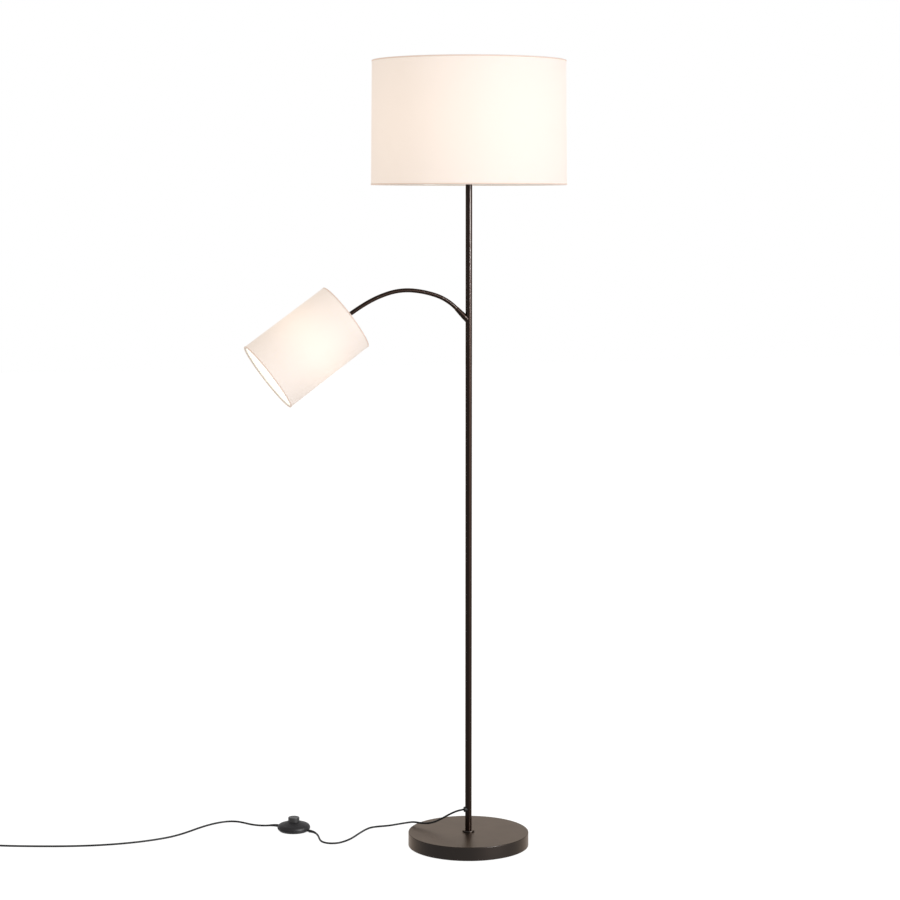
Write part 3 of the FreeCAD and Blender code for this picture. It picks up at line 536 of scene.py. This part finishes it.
ABS_MATT = grained("ABS, spark-eroded grey", "#1f1e1f", "#2a282a", 0.42, 0.6, 0.05, Specular_IOR_Level=0.4)
NICKEL = grained("nickel-plated brass", "#c9c4b8", "#dad6cc", 0.22, 4, Metallic=1.0)
SILICONE = grained("silicone insulation, white", "#d9d8d2", "#e4e3de", 0.5, 2)


FROST = 0.8


def lit_bulb():
    """Frosted glass with the lamp on, an even warm white."""
    material, shader = finish_of("frosted glass, lit", Roughness=0.4, Base_Color="#f6f1e6",
                                 Emission_Color="#fff3e2", Emission_Strength=2.0)
    where = add(material, "TexCoord").outputs["Object"]
    frost = add(material, "TexNoise", {"Vector": where, "Scale": per_metre(FROST)})
    add(material, "Bump", {"Height": frost, "Strength": 0.2, "Distance": 0.02 * MM},
        to=shader.inputs["Normal"])
    return material


GLASS = lit_bulb()
BY_SLOT = {
    "black_lacquer": BRONZE, "cast_iron": IRON, "soft_pad": FOAM, "black_rubber": RUBBER,
    "zinc_steel": ZINC, "white_wire": ENAMEL, "linen": HEM_PAINTED_SHADE, "white_plastic": THERMOSET,
    "bulb_cap": CAP_METAL, "bulb_glass": GLASS, "black_plastic": ABS, "grey_plastic": ABS_MATT,
    "cord_sheath": SHEATH, "thin_lead": SILICONE, "nickel": NICKEL,
}
for entry in frame["record"]["subparts"]:
    node = frame["nodes"][entry["node"]]
    node.data.materials.clear()
    node.data.materials.append(BY_SLOT[entry["material_slot"]])
print(f"{len(BY_SLOT)} finishes on {len(frame['nodes'])} nodes")

# %% [markdown]
# ## The mains lead
#
# A round two-core lead of 4 mm leaves the pole through a rubber bush just above the base. It has come
# off a coil, so it keeps some of that bend: it falls onto the base, crosses the rim, lies along the
# floor in lazy curves and runs into the foot switch and out again. What the picture doesn't show is
# wound up as for storage, with a plug at its end.
#
# One NURBS spline is the whole lead. Its points are the route on the drawing, and the coil's points
# come from a loop over half turns.

# %% Points of the lead
TO_SWITCH = (
    (-9.35, 0, 76.6), (-22, 2.2, 74.6), (-36, 10.5, 66.5), (-50, 21, 55.5), (-63, 33, 45.5),
    (-75, 46, 39.5), (-87, 60, 37.5), (-98, 77, 36.5), (-105, 98, 30), (-112, 121, 22.5),
    (-118.5, 144, 15), (-124, 160, 9.5), (-133, 175.5, 4.5), (-148, 184, 2.2), (-165, 181.5, 2),
    (-178.5, 169.5, 2), (-192, 153, 2), (-207, 132.5, 2), (-220, 114, 2), (-233, 99, 2),
    (-247, 87, 2), (-262, 79, 2), (-280, 82.5, 2), (-290.5, 97, 2), (-291.5, 116, 2),
    (-289.5, 134, 2.4), (-289, 151, 3.8), (-293.2, 168.9, 5), (-303.91, 180.75, 5),
)
TO_COIL = (
    (-352.09, 234.25, 5), (-363, 246.4, 4.4), (-379, 253, 2.6), (-395, 261.5, 2), (-409, 274, 2),
    (-421, 291.5, 2), (-433.5, 306, 2), (-451, 311.5, 2), (-470, 307.5, 2), (-489, 298.5, 2),
    (-508, 285.5, 2), (-527, 269.5, 2), (-546, 252, 2), (-566, 235.5, 2), (-589, 220.5, 2),
    (-616, 210, 2), (-650, 201, 2), (-690, 196, 2), (-732, 195.5, 2), (-776, 200, 2),
    (-820, 209, 2), (-863, 221, 2), (-900, 232.5, 2), (-930, 242.5, 2.1), (-958.1, 253.7, 2.5),
)
COIL_RADIUS = 26.5
COIL_PITCH = 4.45
COIL_LEVEL = 2.75
HALF_TURNS_IN = 4
HALF_TURNS_OUT = 5
STRAIGHT = 4
POINTS_A_HALF_TURN = 8


def half_turn(depth, radius, low, high, share=1.0):
    """Control points of a half turn, or a share of one, that starts on the coil's Y axis."""
    side = -1 if depth < 0 else 1
    middle = depth - side * radius
    stretch = 1 / math.cos(math.pi / (2 * POINTS_A_HALF_TURN))
    points = []
    for index in range(int(POINTS_A_HALF_TURN * share)):
        along = (index + 0.5) / POINTS_A_HALF_TURN
        angle = math.pi * along
        points.append(COIL @ point(side * radius * stretch * math.sin(angle),
                                   middle + side * radius * stretch * math.cos(angle),
                                   low + (high - low) * along))
    return points, middle - side * radius


def coil_points():
    """Two layers: four half turns spiral in, one climbs, and five spiral out, with a last quarter."""
    points = [COIL @ point(STRAIGHT, -COIL_RADIUS, COIL_LEVEL)]
    depth, radius = -COIL_RADIUS, COIL_RADIUS
    top = COIL_LEVEL + COIL_PITCH
    for _ in range(HALF_TURNS_IN):
        more, depth = half_turn(depth, radius, COIL_LEVEL, COIL_LEVEL)
        points += more
        radius -= COIL_PITCH / 2
    more, depth = half_turn(depth, abs(depth), COIL_LEVEL, top)
    points += more
    radius = abs(depth) + COIL_PITCH / 2
    for _ in range(HALF_TURNS_OUT):
        more, depth = half_turn(depth, radius, top, top)
        points += more
        radius += COIL_PITCH / 2
    more, _ = half_turn(depth, abs(depth), top, top, 0.5)
    points += more
    points.append(COIL @ point(depth, STRAIGHT, top))
    return points, Vector((depth, STRAIGHT, top))


wound, plug_start = coil_points()
route = [point(*place) for place in TO_SWITCH + TO_COIL] + wound
PLUG = COIL @ placed(plug_start * MM, -90, "X")
print(f"{len(route)} points, {len(wound)} of them in the coil")

# %% The lead as one spline
CORD = 4


def spline_curve(name, places, thickness):
    """A smooth open NURBS curve through a list of places, with a round section."""
    curve = bpy.data.curves.new(name, "CURVE")
    curve.dimensions = "3D"
    curve.resolution_u = 6
    curve.bevel_depth = thickness * MM / 2
    curve.bevel_resolution = 4
    curve.use_fill_caps = True
    spline = curve.splines.new("NURBS")
    spline.points.add(len(places) - 1)
    for control, place in zip(spline.points, places):
        control.co = (*place, 1)
    spline.order_u = 3
    spline.use_endpoint_u = True
    return curve


def centre_line(curve):
    """Points along the curve itself, read from a copy without its thickness."""
    thin = curve.copy()
    thin.bevel_depth = 0
    thin.use_fill_caps = False
    holder = bpy.data.objects.new("centre_line", thin)
    bpy.context.scene.collection.objects.link(holder)
    bpy.context.view_layer.update()
    mesh = bpy.data.meshes.new_from_object(holder)
    places = [vertex.co.copy() for vertex in mesh.vertices]
    bpy.data.objects.remove(holder)
    bpy.data.curves.remove(thin)
    bpy.data.meshes.remove(mesh)
    return places


cord_curve = spline_curve("mains_lead", route, CORD)
line = centre_line(cord_curve)
cord_curve.materials.append(SHEATH)
lead = bpy.data.objects.new("mains_lead", cord_curve)
bpy.context.scene.collection.objects.link(lead)
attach(lead, "stand")
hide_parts("cord_lamp", "cord_mains", "cord_coil", "switch_leads")

# %% [markdown]
# ## Base and pole
#
# The base is a spun steel cover over a cast weight: a shallow pan upside down. Spinning leaves a
# small round where the top turns into the side, and that round catches a fine line of light. The
# pole is three equal tubes that screw together, and each tube's end has a tiny round, so the two
# joints show as hairlines. A turned collar hides where the pole stands on the base.

# %% Base, collar and pole
BASE_RADIUS = 125
BASE_TOP = 29.4
SHEET_STEEL = 1.5
FLOOR_GAP = 1.5
COLLAR_RADIUS = 12.5
COLLAR_TOP = 32.8
POLE = 13.5 / 2
POLE_BORE = 10.1 / 2
TUBE_LENGTH = 450.4
HAIRLINE = 0.35

piece(turned("base_shell", [
    (POLE_BORE, BASE_TOP - SHEET_STEEL), (POLE_BORE, BASE_TOP), (BASE_RADIUS, BASE_TOP, 1.3),
    (BASE_RADIUS, FLOOR_GAP, 0.5), (BASE_RADIUS - SHEET_STEEL, FLOOR_GAP),
    (BASE_RADIUS - SHEET_STEEL, BASE_TOP - SHEET_STEEL),
], 192), BRONZE_MATT, "stand", ["base_cover"])
piece(turned("pole_foot_ring", [
    (POLE_BORE, BASE_TOP), (COLLAR_RADIUS, BASE_TOP, 0.3), (COLLAR_RADIUS, COLLAR_TOP, 1.6),
    (POLE_BORE, COLLAR_TOP),
]), BRONZE_MATT, "stand", ["pole_collar"])
for number, name in enumerate(("pole_lower", "pole_middle", "pole_upper")):
    low = COLLAR_TOP + number * TUBE_LENGTH
    high = low + TUBE_LENGTH
    piece(turned(name + "_tube", [
        (POLE_BORE, low), (POLE, low, HAIRLINE), (POLE, high, HAIRLINE), (POLE_BORE, high),
    ]), BRONZE, "stand", [name])
print("base and pole made")

# %% [markdown]
# ## Arm socket and flexible neck
#
# The arm starts as a short tapered socket that is welded to the pole at 45 degrees. The neck is steel
# strip wound over a spring, with a pitch of a little over 2 mm, then coated like the rest. In the
# drawing it is a chain of five stiff links. Here each hinge gets a sleeve from the middle of one link
# to the middle of the next, curved smoothly between the two along the neck at rest. The sleeves ride
# on no body, so they keep that shape and place when the neck moves. The first sleeve starts at the
# socket's mouth, and the last one ends inside the shade.

# %% Socket and neck
NECK = 8.5 / 2
RIB_PITCH = 2.2
RIB_DEPTH = 0.1
RIB_SHARPNESS = 6
SAMPLES_A_RIB = 5
TAIL = 9
END_MARGIN = 2
SOCKET = 6.1
SOCKET_MOUTH = 4.7
SOCKET_BORE = 2.45

piece(turned("arm_socket", [
    (SOCKET_BORE, 2), (SOCKET, 2), (SOCKET, 14, 9), (SOCKET_MOUTH, FERRULE_LENGTH, 0.35),
    (4.3, FERRULE_LENGTH), (SOCKET_BORE, FERRULE_LENGTH),
], 48), BRONZE, "stand", ["arm_ferrule"], ARM)


def neck_sleeve(number, start, end):
    """The neck's skin between two lengths along it, with a groove at every turn of the winding."""
    steps = round((end - start) / RIB_PITCH * SAMPLES_A_RIB)
    path = []
    radii = []
    for step in range(steps + 1):
        reach = start + (end - start) * step / steps
        path.append(along_neck(reach)[0] if reach >= 0 else ARM @ point(0, 0, NECK_START + reach))
        groove = abs(math.cos(math.pi * reach / RIB_PITCH)) ** RIB_SHARPNESS
        radii.append(NECK - RIB_DEPTH * groove)
    return bar(f"neck_sleeve_{number}", path, radii, 24)


middles = [LINK * (number + 0.5) for number in range(len(LINK_TURNS) - 1)]
ends = [FERRULE_LENGTH - NECK_START] + middles + [NECK_LENGTH + TAIL]
for number, (start, end) in enumerate(zip(ends, ends[1:]), start=1):
    sleeve = piece(neck_sleeve(number, start, end), BRONZE, None, [f"neck_link_{number}"])
    first = max(start, 0)
    last = min(end, NECK_LENGTH - END_MARGIN)
    along_neck(first)[0]
    along_neck(last)[0]
    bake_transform(sleeve)
print(f"{len(ends) - 1} sleeves, a groove every {RIB_PITCH} mm")

# %% [markdown]
# ## Shades
#
# Each drum tapers by a few millimetres, because its strip is cut with a slight curve. The cloth is one
# thin wall, and its texture space is the flat strip that it was cut from: metres round and metres up.
# At each edge the cloth is rolled over the wire, so there is a bead of 3 mm. At the back, the strip's
# ends overlap in a glued seam.

# %% Drums, hems and seams
CLOTH = 1
HEM_HEIGHT = 3
HEM_PROUD = 0.45
HEM_DEPTH = 1.2
SEAM_WIDTH = 10
SEAM_MARGIN = 2
SEAM_SKINS = (-0.3, 0.25)
SHADE_SIDES = 144


def drum(name, low_radius, high_radius, length, finish, body, node, place):
    """A tapering wall of cloth with a texture space in metres, and the lining on its inside."""
    mesh = turned(name, [
        (low_radius, 0), (high_radius, length), (high_radius - CLOTH, length), (low_radius - CLOTH, 0),
    ], SHADE_SIDES)
    cloth = mesh.uv_layers.new(name="cloth")
    mean = (low_radius + high_radius) / 2
    for face in mesh.polygons:
        angles = [math.atan2(*mesh.vertices[index].co.yx) for index in face.vertices]
        wraps = max(angles) - min(angles) > math.pi
        for loop, angle, index in zip(face.loop_indices, angles, face.vertices):
            turn = angle + 2 * math.pi if wraps and angle < 0 else angle
            cloth.data[loop].uv = (turn * mean * MM, mesh.vertices[index].co.z)
    piece(mesh, finish, body, [node], place)
    mesh.materials.append(LINING)
    # a face that looks towards the axis belongs to the lining
    for face in mesh.polygons:
        outwards = face.center.x * face.normal.x + face.center.y * face.normal.y
        face.material_index = 0 if outwards > -0.5 * face.center.xy.length else 1


def hem(name, radius, height, body, place):
    """The rolled edge: a flat bead round the drum, with its middle at a height."""
    inner, outer = radius - HEM_DEPTH, radius + HEM_PROUD
    low, high = height - HEM_HEIGHT / 2, height + HEM_HEIGHT / 2
    bead = [(inner, low, 0.5), (outer, low, 0.7), (outer, high, 0.7), (inner, high, 0.5)]
    piece(turned(name, bead, SHADE_SIDES), HEM_PAINTED_SHADE, body, (), place)


def lap_seam(name, low_radius, high_radius, length, angle, finish, body, place):
    """The overlap of the strip's two ends, a little proud of the cloth."""
    steps = 5
    verts = []
    for radius, height in ((low_radius, SEAM_MARGIN), (high_radius, length - SEAM_MARGIN)):
        for skin in SEAM_SKINS:
            for step in range(steps + 1):
                turn = math.radians(angle) + (step / steps - 0.5) * SEAM_WIDTH / radius
                out = radius + skin
                verts.append(point(out * math.cos(turn), out * math.sin(turn), height))
    row = steps + 1
    faces = []
    for step in range(steps):
        for first, second in ((0, 1), (1, 3), (3, 2), (2, 0)):
            one, other = first * row + step, second * row + step
            faces.append((one, one + 1, other + 1, other))
    for step in (0, steps):
        faces.append((step, row + step, 3 * row + step, 2 * row + step))
    mesh = bpy.data.meshes.new(name)
    mesh.from_pydata(verts, [], faces)
    cleaned(mesh)
    cloth = mesh.uv_layers.new(name="cloth")
    for loop in mesh.loops:
        where = mesh.vertices[loop.vertex_index].co
        cloth.data[loop.index].uv = (math.atan2(where.y, where.x) * radius * MM, where.z)
    piece(mesh, finish, body, (), place)


def shade(kind, low_radius, high_radius, length, seam_angle, finish, body, hem_names, place):
    """A whole shade: the drum, a hem at each edge and the seam."""
    drum(kind + "_shade", low_radius, high_radius, length, finish, body, kind + "_fabric", place)
    hem(hem_names[0], low_radius, HEM_HEIGHT / 2, body, place)
    hem(hem_names[1], high_radius, length - HEM_HEIGHT / 2, body, place)
    lap_seam(kind + "_seam", low_radius, high_radius, length, seam_angle, finish, body, place)


MAIN_LOW, MAIN_HIGH, MAIN_LENGTH = 198.2, 195.7, 249.3
READING_LOW, READING_HIGH, READING_LENGTH = 74, 75.5, 200
shade("main", MAIN_LOW, MAIN_HIGH, MAIN_LENGTH, 75, MAIN_LINEN, "stand",
      ("main_hem_low", "main_hem_high"), MAIN)
shade("reading", READING_LOW, READING_HIGH, READING_LENGTH, 90, READING_LINEN, "reading_head",
      ("reading_hem_back", "reading_hem_front"), HEAD)
print("two drums with hems and seams")

# %% [markdown]
# ## Rings, spiders, lampholders and bulbs
#
# A spider is a pressed hub with three spokes welded to it and to the lower ring. The lampholder is a
# cap and a threaded skirt that screw together through the hub, and so clamp the shade. The neck ends
# in a crimped collar with a thread for its lampholder. All of it is round wire, turned metal and
# turned plastic, so bars and turned outlines are enough.

# %% Wire rings and spiders
WIRE = 1.5
WIRE_SIDES = 12
RING_POINTS = 96
RING_INSET = 2.7
RING_LEVEL = 2.5
HUB_SHEET = 1.4
SPOKES = 3


def wire_ring(name, radius, height, body, nodes, place):
    """A closed ring of wire at a height."""
    angles = [2 * math.pi * index / RING_POINTS for index in range(RING_POINTS)]
    path = [point(radius * math.cos(angle), radius * math.sin(angle), height) for angle in angles]
    ring = bar(name, path, [WIRE] * RING_POINTS, WIRE_SIDES, closed=True)
    piece(ring, ENAMEL, body, nodes, place)


def spider(kind, hub_bore, hub_radius, hub_height, ring_radius, body, place):
    """A hub, its ring and three spokes between them."""
    name = kind + "_spider_wire"
    top = hub_height + HUB_SHEET
    hub = turned(name + "_hub", [
        (hub_bore, hub_height), (hub_radius, hub_height, 0.4), (hub_radius, top, 0.4), (hub_bore, top),
    ], 48)
    piece(hub, ENAMEL, body, [kind + "_spider"], place)
    wire_ring(name + "_ring", ring_radius, RING_LEVEL, body, (), place)
    for number in range(SPOKES):
        angle = 2 * math.pi * (number + 0.5) / SPOKES
        out = Vector((math.cos(angle), math.sin(angle), 0))
        inner = out * (hub_radius - WIRE) + Vector((0, 0, hub_height + HUB_SHEET / 2))
        outer = out * ring_radius + Vector((0, 0, RING_LEVEL))
        spoke = bar(f"{name}_spoke_{number + 1}", [inner * MM, outer * MM], [WIRE, WIRE], WIRE_SIDES)
        piece(spoke, ENAMEL, body, (), place)


spider("main", hub_bore=13.5, hub_radius=22.75, hub_height=34.4, ring_radius=MAIN_LOW - RING_INSET,
       body="stand", place=MAIN)
wire_ring("main_ring_high", MAIN_HIGH - RING_INSET, MAIN_LENGTH - RING_LEVEL, "stand",
          ["main_top_ring"], MAIN)
spider("reading", hub_bore=7.1, hub_radius=16.25, hub_height=26, ring_radius=READING_LOW - RING_INSET,
       body="reading_head", place=HEAD)
wire_ring("reading_ring_front", READING_HIGH - RING_INSET, READING_LENGTH - RING_LEVEL, "reading_head",
          ["reading_front_ring"], HEAD)
print("rings and spiders made")

# %% Lampholders and bulbs
GRIPS = 5
GRIP_START = 6
GRIP_PITCH = 2.4
GRIP_DEPTH = 0.8
BULB_NECK = 7
END_COLLAR = 6.5
END_THREAD = 5
END_BORE = 3


def lampholder(kind, radius, bore, low, cap, barrel, body, place):
    """A domed cap, and a skirt with a grip of shallow rings that a hand screws on."""
    seat = low + cap
    piece(turned(kind + "_cap_shell", [
        (POLE_BORE, low), (radius * 0.36, low, 1.5), (radius, low + cap / 2, 3), (radius, seat, 0.5),
        (POLE_BORE, seat),
    ]), THERMOSET, body, [kind + "_holder_cap"], place)
    foot = seat + HUB_SHEET
    outline = [(bore, foot), (radius, foot, 0.5), (radius, foot + GRIP_START - 1, 0.5)]
    for grip in range(GRIPS):
        start = foot + GRIP_START + grip * GRIP_PITCH
        outline += [(radius - GRIP_DEPTH, start, 0.3), (radius - GRIP_DEPTH, start + 1.2, 0.3),
                    (radius, start + 1.4, 0.3), (radius, start + 2.2, 0.3)]
    outline += [(radius, foot + barrel, 0.8), (bore, foot + barrel, 0.6)]
    piece(turned(kind + "_skirt", outline), THERMOSET, body, [kind + "_holder_barrel"],
          place)


def bulb(kind, neck, radius, foot, length, body, place):
    """A tubular bulb: a neck in the lampholder, a shoulder and a domed end."""
    shoulder = foot + BULB_NECK
    tip = foot + length
    piece(turned(kind + "_bulb", [
        (0, foot), (neck, foot), (neck, shoulder, 2), (radius, shoulder + (radius - neck) * 0.6, 4),
        (radius, tip, radius * 0.62), (0, tip),
    ]), GLASS, body, [kind + "_bulb_glass"], place)


lampholder("main", radius=39.5 / 2, bore=13.5, low=16.4, cap=18, barrel=42, body="stand", place=MAIN)
bulb("main", neck=13, radius=20, foot=73.8, length=92, body="stand", place=MAIN)
lampholder("reading", radius=26.5 / 2, bore=7.1, low=13, cap=13, barrel=36, body="reading_head",
           place=HEAD)
bulb("reading", neck=6.7, radius=15, foot=59.4, length=62, body="reading_head", place=HEAD)
piece(turned("neck_end_collar", [
    (NECK, 1, 0), (END_COLLAR, 1, 0.8), (END_COLLAR, 13, 0.6), (END_THREAD, 13), (END_THREAD, 22),
    (END_BORE, 22), (END_BORE, 9), (NECK, 9),
], 48), BRONZE, "reading_head", ["neck_end_sleeve"], HEAD)
print("lampholders and bulbs made")

# %% [markdown]
# ## Foot switch
#
# The foot switch is two moulded shells like a pebble, parted just above the floor, with a big round
# button in the middle that a shoe can find. The cover slopes up to the button, and the button's top
# is a little dished. The two shells are plain black from the mould. The button is a dark grey with a
# fine spark-eroded grain, so it looks a bit brighter. Where the lead leaves, a short tapered strain
# relief follows it.

# %% Switch shells and button
SWITCH_RADIUS = 35
SWITCH_BORE = 28
SWITCH_PARTING = 34.4
BUTTON = 12
BUTTON_GAP = 0.35
BUTTON_LIP = 13.4
BUTTON_STEM = 3.5
BUTTON_TOP = 29.6
BOOT_LENGTH = 20
BOOT_THICK = 3.2
BOOT_THIN = 2.25

piece(turned("switch_tray", [
    (0, 0), (30, 0, 2.2), (SWITCH_RADIUS, 5.2, 1.2), (SWITCH_PARTING, 5.7), (SWITCH_BORE, 5.6),
    (SWITCH_BORE, 2), (0, 2),
], 96), ABS, "stand", ["switch_base"], SWITCH)
piece(turned("switch_shell", [
    (SWITCH_BORE + 0.5, 5.9), (SWITCH_PARTING, 5.8), (SWITCH_RADIUS, 6.4, 1), (SWITCH_RADIUS, 12.7, 8.4),
    (BUTTON + BUTTON_GAP, 20.6, 0.8), (BUTTON + BUTTON_GAP, 12.5), (SWITCH_BORE + 0.5, 12.5),
], 96), ABS, "stand", ["switch_cover"], SWITCH)
piece(turned("switch_knob", [
    (0, 10.3), (BUTTON_STEM, 10.3), (BUTTON_STEM, 10.9), (BUTTON_LIP, 10.9), (BUTTON_LIP, 12.3),
    (BUTTON, 12.3), (BUTTON, BUTTON_TOP, 1.3), (9.5, BUTTON_TOP, 0.6), (8.5, BUTTON_TOP - 0.5, 3),
    (0, BUTTON_TOP - 0.6),
]), ABS_MATT, "foot_button", ["switch_button"], SWITCH)


def boot(name, outlet, direction):
    """A tapered strain relief that follows the lead from an outlet, one way or the other along it."""
    index = min(range(len(line)), key=lambda number: (line[number] - outlet).length)
    path = [line[index]]
    reach = 0
    while reach < BOOT_LENGTH * MM:
        index += direction
        reach += (line[index] - path[-1]).length
        path.append(line[index])
    radii = [BOOT_THICK + (BOOT_THIN - BOOT_THICK) * step / (len(path) - 1) for step in range(len(path))]
    piece(bar(name, path, radii, 20), ABS, "stand")


boot("switch_boot_lamp", point(-301.5, 178.07, 5), -1)
boot("switch_boot_plug", point(-354.5, 236.93, 5), 1)
print("foot switch made")

# %% [markdown]
# ## Plug
#
# The lead ends in a flat moulded plug with two round pins, each with a plastic skirt at its root. The
# body narrows towards the lead, its edges are rounded for the fingers, and a tapered, grooved relief
# keeps the lead from kinking. The body isn't round, so it is a plain block with a bevel on its edges.

# %% Plug body, relief and pins
LEAD_BORE = 2.05
RELIEF = 26
RELIEF_THIN = 2.7
RELIEF_THICK = 4.5
GROOVES = 4
GROOVE_PITCH = 5
PLUG_WIDTH = 35.2
PLUG_NOSE = 13
PLUG_THICK = 14
PLUG_SHOULDER = RELIEF + 22
PLUG_FACE = RELIEF + 36
PLUG_ROUND = 3
PIN = 2
PIN_LENGTH = 19
PIN_SPREAD = 18.6
PIN_SKIRT = 9


def plug_block():
    """The plug's flat body: an outline of (width, height) corners with a thickness and round edges."""
    outline = [
        (-PLUG_NOSE / 2, RELIEF), (PLUG_NOSE / 2, RELIEF), (PLUG_WIDTH / 2, PLUG_SHOULDER),
        (PLUG_WIDTH / 2, PLUG_FACE), (-PLUG_WIDTH / 2, PLUG_FACE), (-PLUG_WIDTH / 2, PLUG_SHOULDER),
    ]
    count = len(outline)
    verts = [point(x, side * PLUG_THICK / 2, z) for side in (-1, 1) for x, z in outline]
    faces = [tuple(range(count)), tuple(reversed(range(count, 2 * count)))]
    for index in range(count):
        after = (index + 1) % count
        faces.append((index, count + index, count + after, after))
    mesh = bpy.data.meshes.new("plug_moulding")
    mesh.from_pydata(verts, [], faces)
    thing = piece(cleaned(mesh), ABS, "stand", ["plug_body"], PLUG)
    rounding = thing.modifiers.new("rounding", "BEVEL")
    rounding.width = PLUG_ROUND * MM
    rounding.segments = 4
    rounding.limit_method = "ANGLE"
    rounding.angle_limit = math.radians(20)
    return thing


def plug_relief():
    """The grooved, tapered sleeve between the lead and the plug's body."""
    outline = [(LEAD_BORE, 0), (RELIEF_THIN, 0, 0.3)]
    for groove in range(GROOVES):
        height = 4 + groove * GROOVE_PITCH
        radius = RELIEF_THIN + (RELIEF_THICK - RELIEF_THIN) * height / RELIEF
        outline += [(radius, height, 0.3), (radius - 0.9, height + 0.7, 0.3),
                    (radius - 0.9, height + 1.9, 0.3), (radius + 0.2, height + 2.6, 0.3)]
    outline += [(RELIEF_THICK, RELIEF), (LEAD_BORE, RELIEF)]
    return piece(turned("plug_boot", outline, 40), SHEATH, "stand", ["plug_relief"], PLUG)


plug_parts = [plug_block(), plug_relief()]
for number, side in enumerate((-1, 1), start=1):
    place = PLUG @ Matrix.Translation(point(side * PIN_SPREAD / 2, 0, PLUG_FACE))
    pin = turned(f"plug_pin_{number}", [(0, 0), (PIN, 0), (PIN, PIN_LENGTH, 1.6), (0, PIN_LENGTH)], 32)
    skirt = turned(f"plug_pin_skirt_{number}", [
        (PIN - 0.1, 0), (PIN, 0), (PIN, PIN_SKIRT, 0.05), (PIN - 0.1, PIN_SKIRT),
    ], 32)
    plug_parts.append(piece(pin, NICKEL, "stand", ["plug_pins"], place))
    plug_parts.append(piece(skirt, ABS, "stand", (), place))
print(f"plug with {len(plug_parts)} pieces")

# %% [markdown]

# %% [markdown]
# ## Room and light
#
# The floor and the room are white, as in a catalogue. What the camera sees of them is white by itself,
# and so is what shiny surfaces mirror, but the light that reaches the lamp from them is weaker, so
# that pale cloth keeps its tone. The floor still darkens where the lamp shades it.

# %% Floor and world
FLOOR_REACH = 14
FLOOR_GLOW = 0.93
ROOM_LIGHT = 0.55


def seen(material):
    """1 for what the camera sees straight, in a mirror or through glass."""
    path = add(material, "LightPath").outputs
    shiny = add(material, "Math", {0: path["Is Camera Ray"], 1: path["Is Glossy Ray"]}, operation="MAXIMUM")
    return add(material, "Math", {0: shiny, 1: path["Is Transmission Ray"]}, operation="MAXIMUM")


def white_floor():
    """White to the camera and in mirrors, and pale grey to the light that reaches the lamp."""
    material = bpy.data.materials.new("white sweep")
    material.use_nodes = True
    material.node_tree.nodes.clear()
    matt = add(material, "BsdfDiffuse", {"Color": colour("#e6e6e6")})
    shade_only = add(material, "BsdfDiffuse", {"Color": colour("#8a8a8a")})
    white = add(material, "Emission", {"Color": colour("#ffffff"), "Strength": FLOOR_GLOW})
    for_camera = add(material, "AddShader", {0: shade_only, 1: white})
    both = add(material, "MixShader", {0: seen(material), 1: matt, 2: for_camera})
    add(material, "OutputMaterial", {"Surface": both})
    return material


floor_mesh = bpy.data.meshes.new("floor")
floor_corners = [(x * FLOOR_REACH, y * FLOOR_REACH, 0) for x, y in ((-1, -1), (1, -1), (1, 1), (-1, 1))]
floor_mesh.from_pydata(floor_corners, [], [(0, 1, 2, 3)])
floor_mesh.materials.append(white_floor())
floor = bpy.data.objects.new("floor", floor_mesh)
bpy.context.scene.collection.objects.link(floor)

world = bpy.data.worlds.new("white room")
world.use_nodes = True
world.node_tree.nodes.clear()
dim = add(world, "Background", {"Color": colour("#fffdfa"), "Strength": ROOM_LIGHT})
bright = add(world, "Background", {"Color": colour("#ffffff"), "Strength": 1.0})
room = add(world, "MixShader", {0: seen(world), 1: dim, 2: bright})
add(world, "OutputWorld", {"Surface": room})
bpy.context.scene.world = world
print(f"a white floor {2 * FLOOR_REACH} m wide in a white room")

# %% [markdown]
# ## Lights
#
# A large, slightly cool soft box stands to the right of the camera, and a weaker, warmer one fills in
# from the left. A smaller, bright light on the stand of the first is there only for its mirror image:
# it lights no matt surface, and leaves a pale streak down the upper pole.

# %% Soft lights
def soft_light(name, place, aim, width, height, watts, tint):
    """A soft light of some width and height at a place, turned towards an aim."""
    light = bpy.data.lights.new(name, "AREA")
    light.shape = "RECTANGLE"
    light.color = colour(tint)[:3]
    light.size = width
    light.size_y = height
    light.energy = watts
    holder = bpy.data.objects.new(name, light)
    holder.location = place
    holder.rotation_euler = (Vector(aim) - Vector(place)).to_track_quat("-Z", "Y").to_euler()
    bpy.context.scene.collection.objects.link(holder)
    return holder


soft_light("key", place=(2.3, -3.4, 1.75), aim=(0, 0, 1.5), width=1.7, height=1.5, watts=39,
           tint="#f1f4ff")
soft_light("fill", place=(-3.4, -2.6, 1.6), aim=(0, 0, 1.0), width=1.8, height=1.8, watts=17,
           tint="#fff6ee")
strip = soft_light("strip", place=(2.3, -3.4, 1.45), aim=(0, 0, 1.2), width=0.6, height=0.8, watts=520,
                   tint="#ffffff")
strip.visible_diffuse = False
bpy.context.scene.view_settings.view_transform = "Standard"
print("three lights ready")
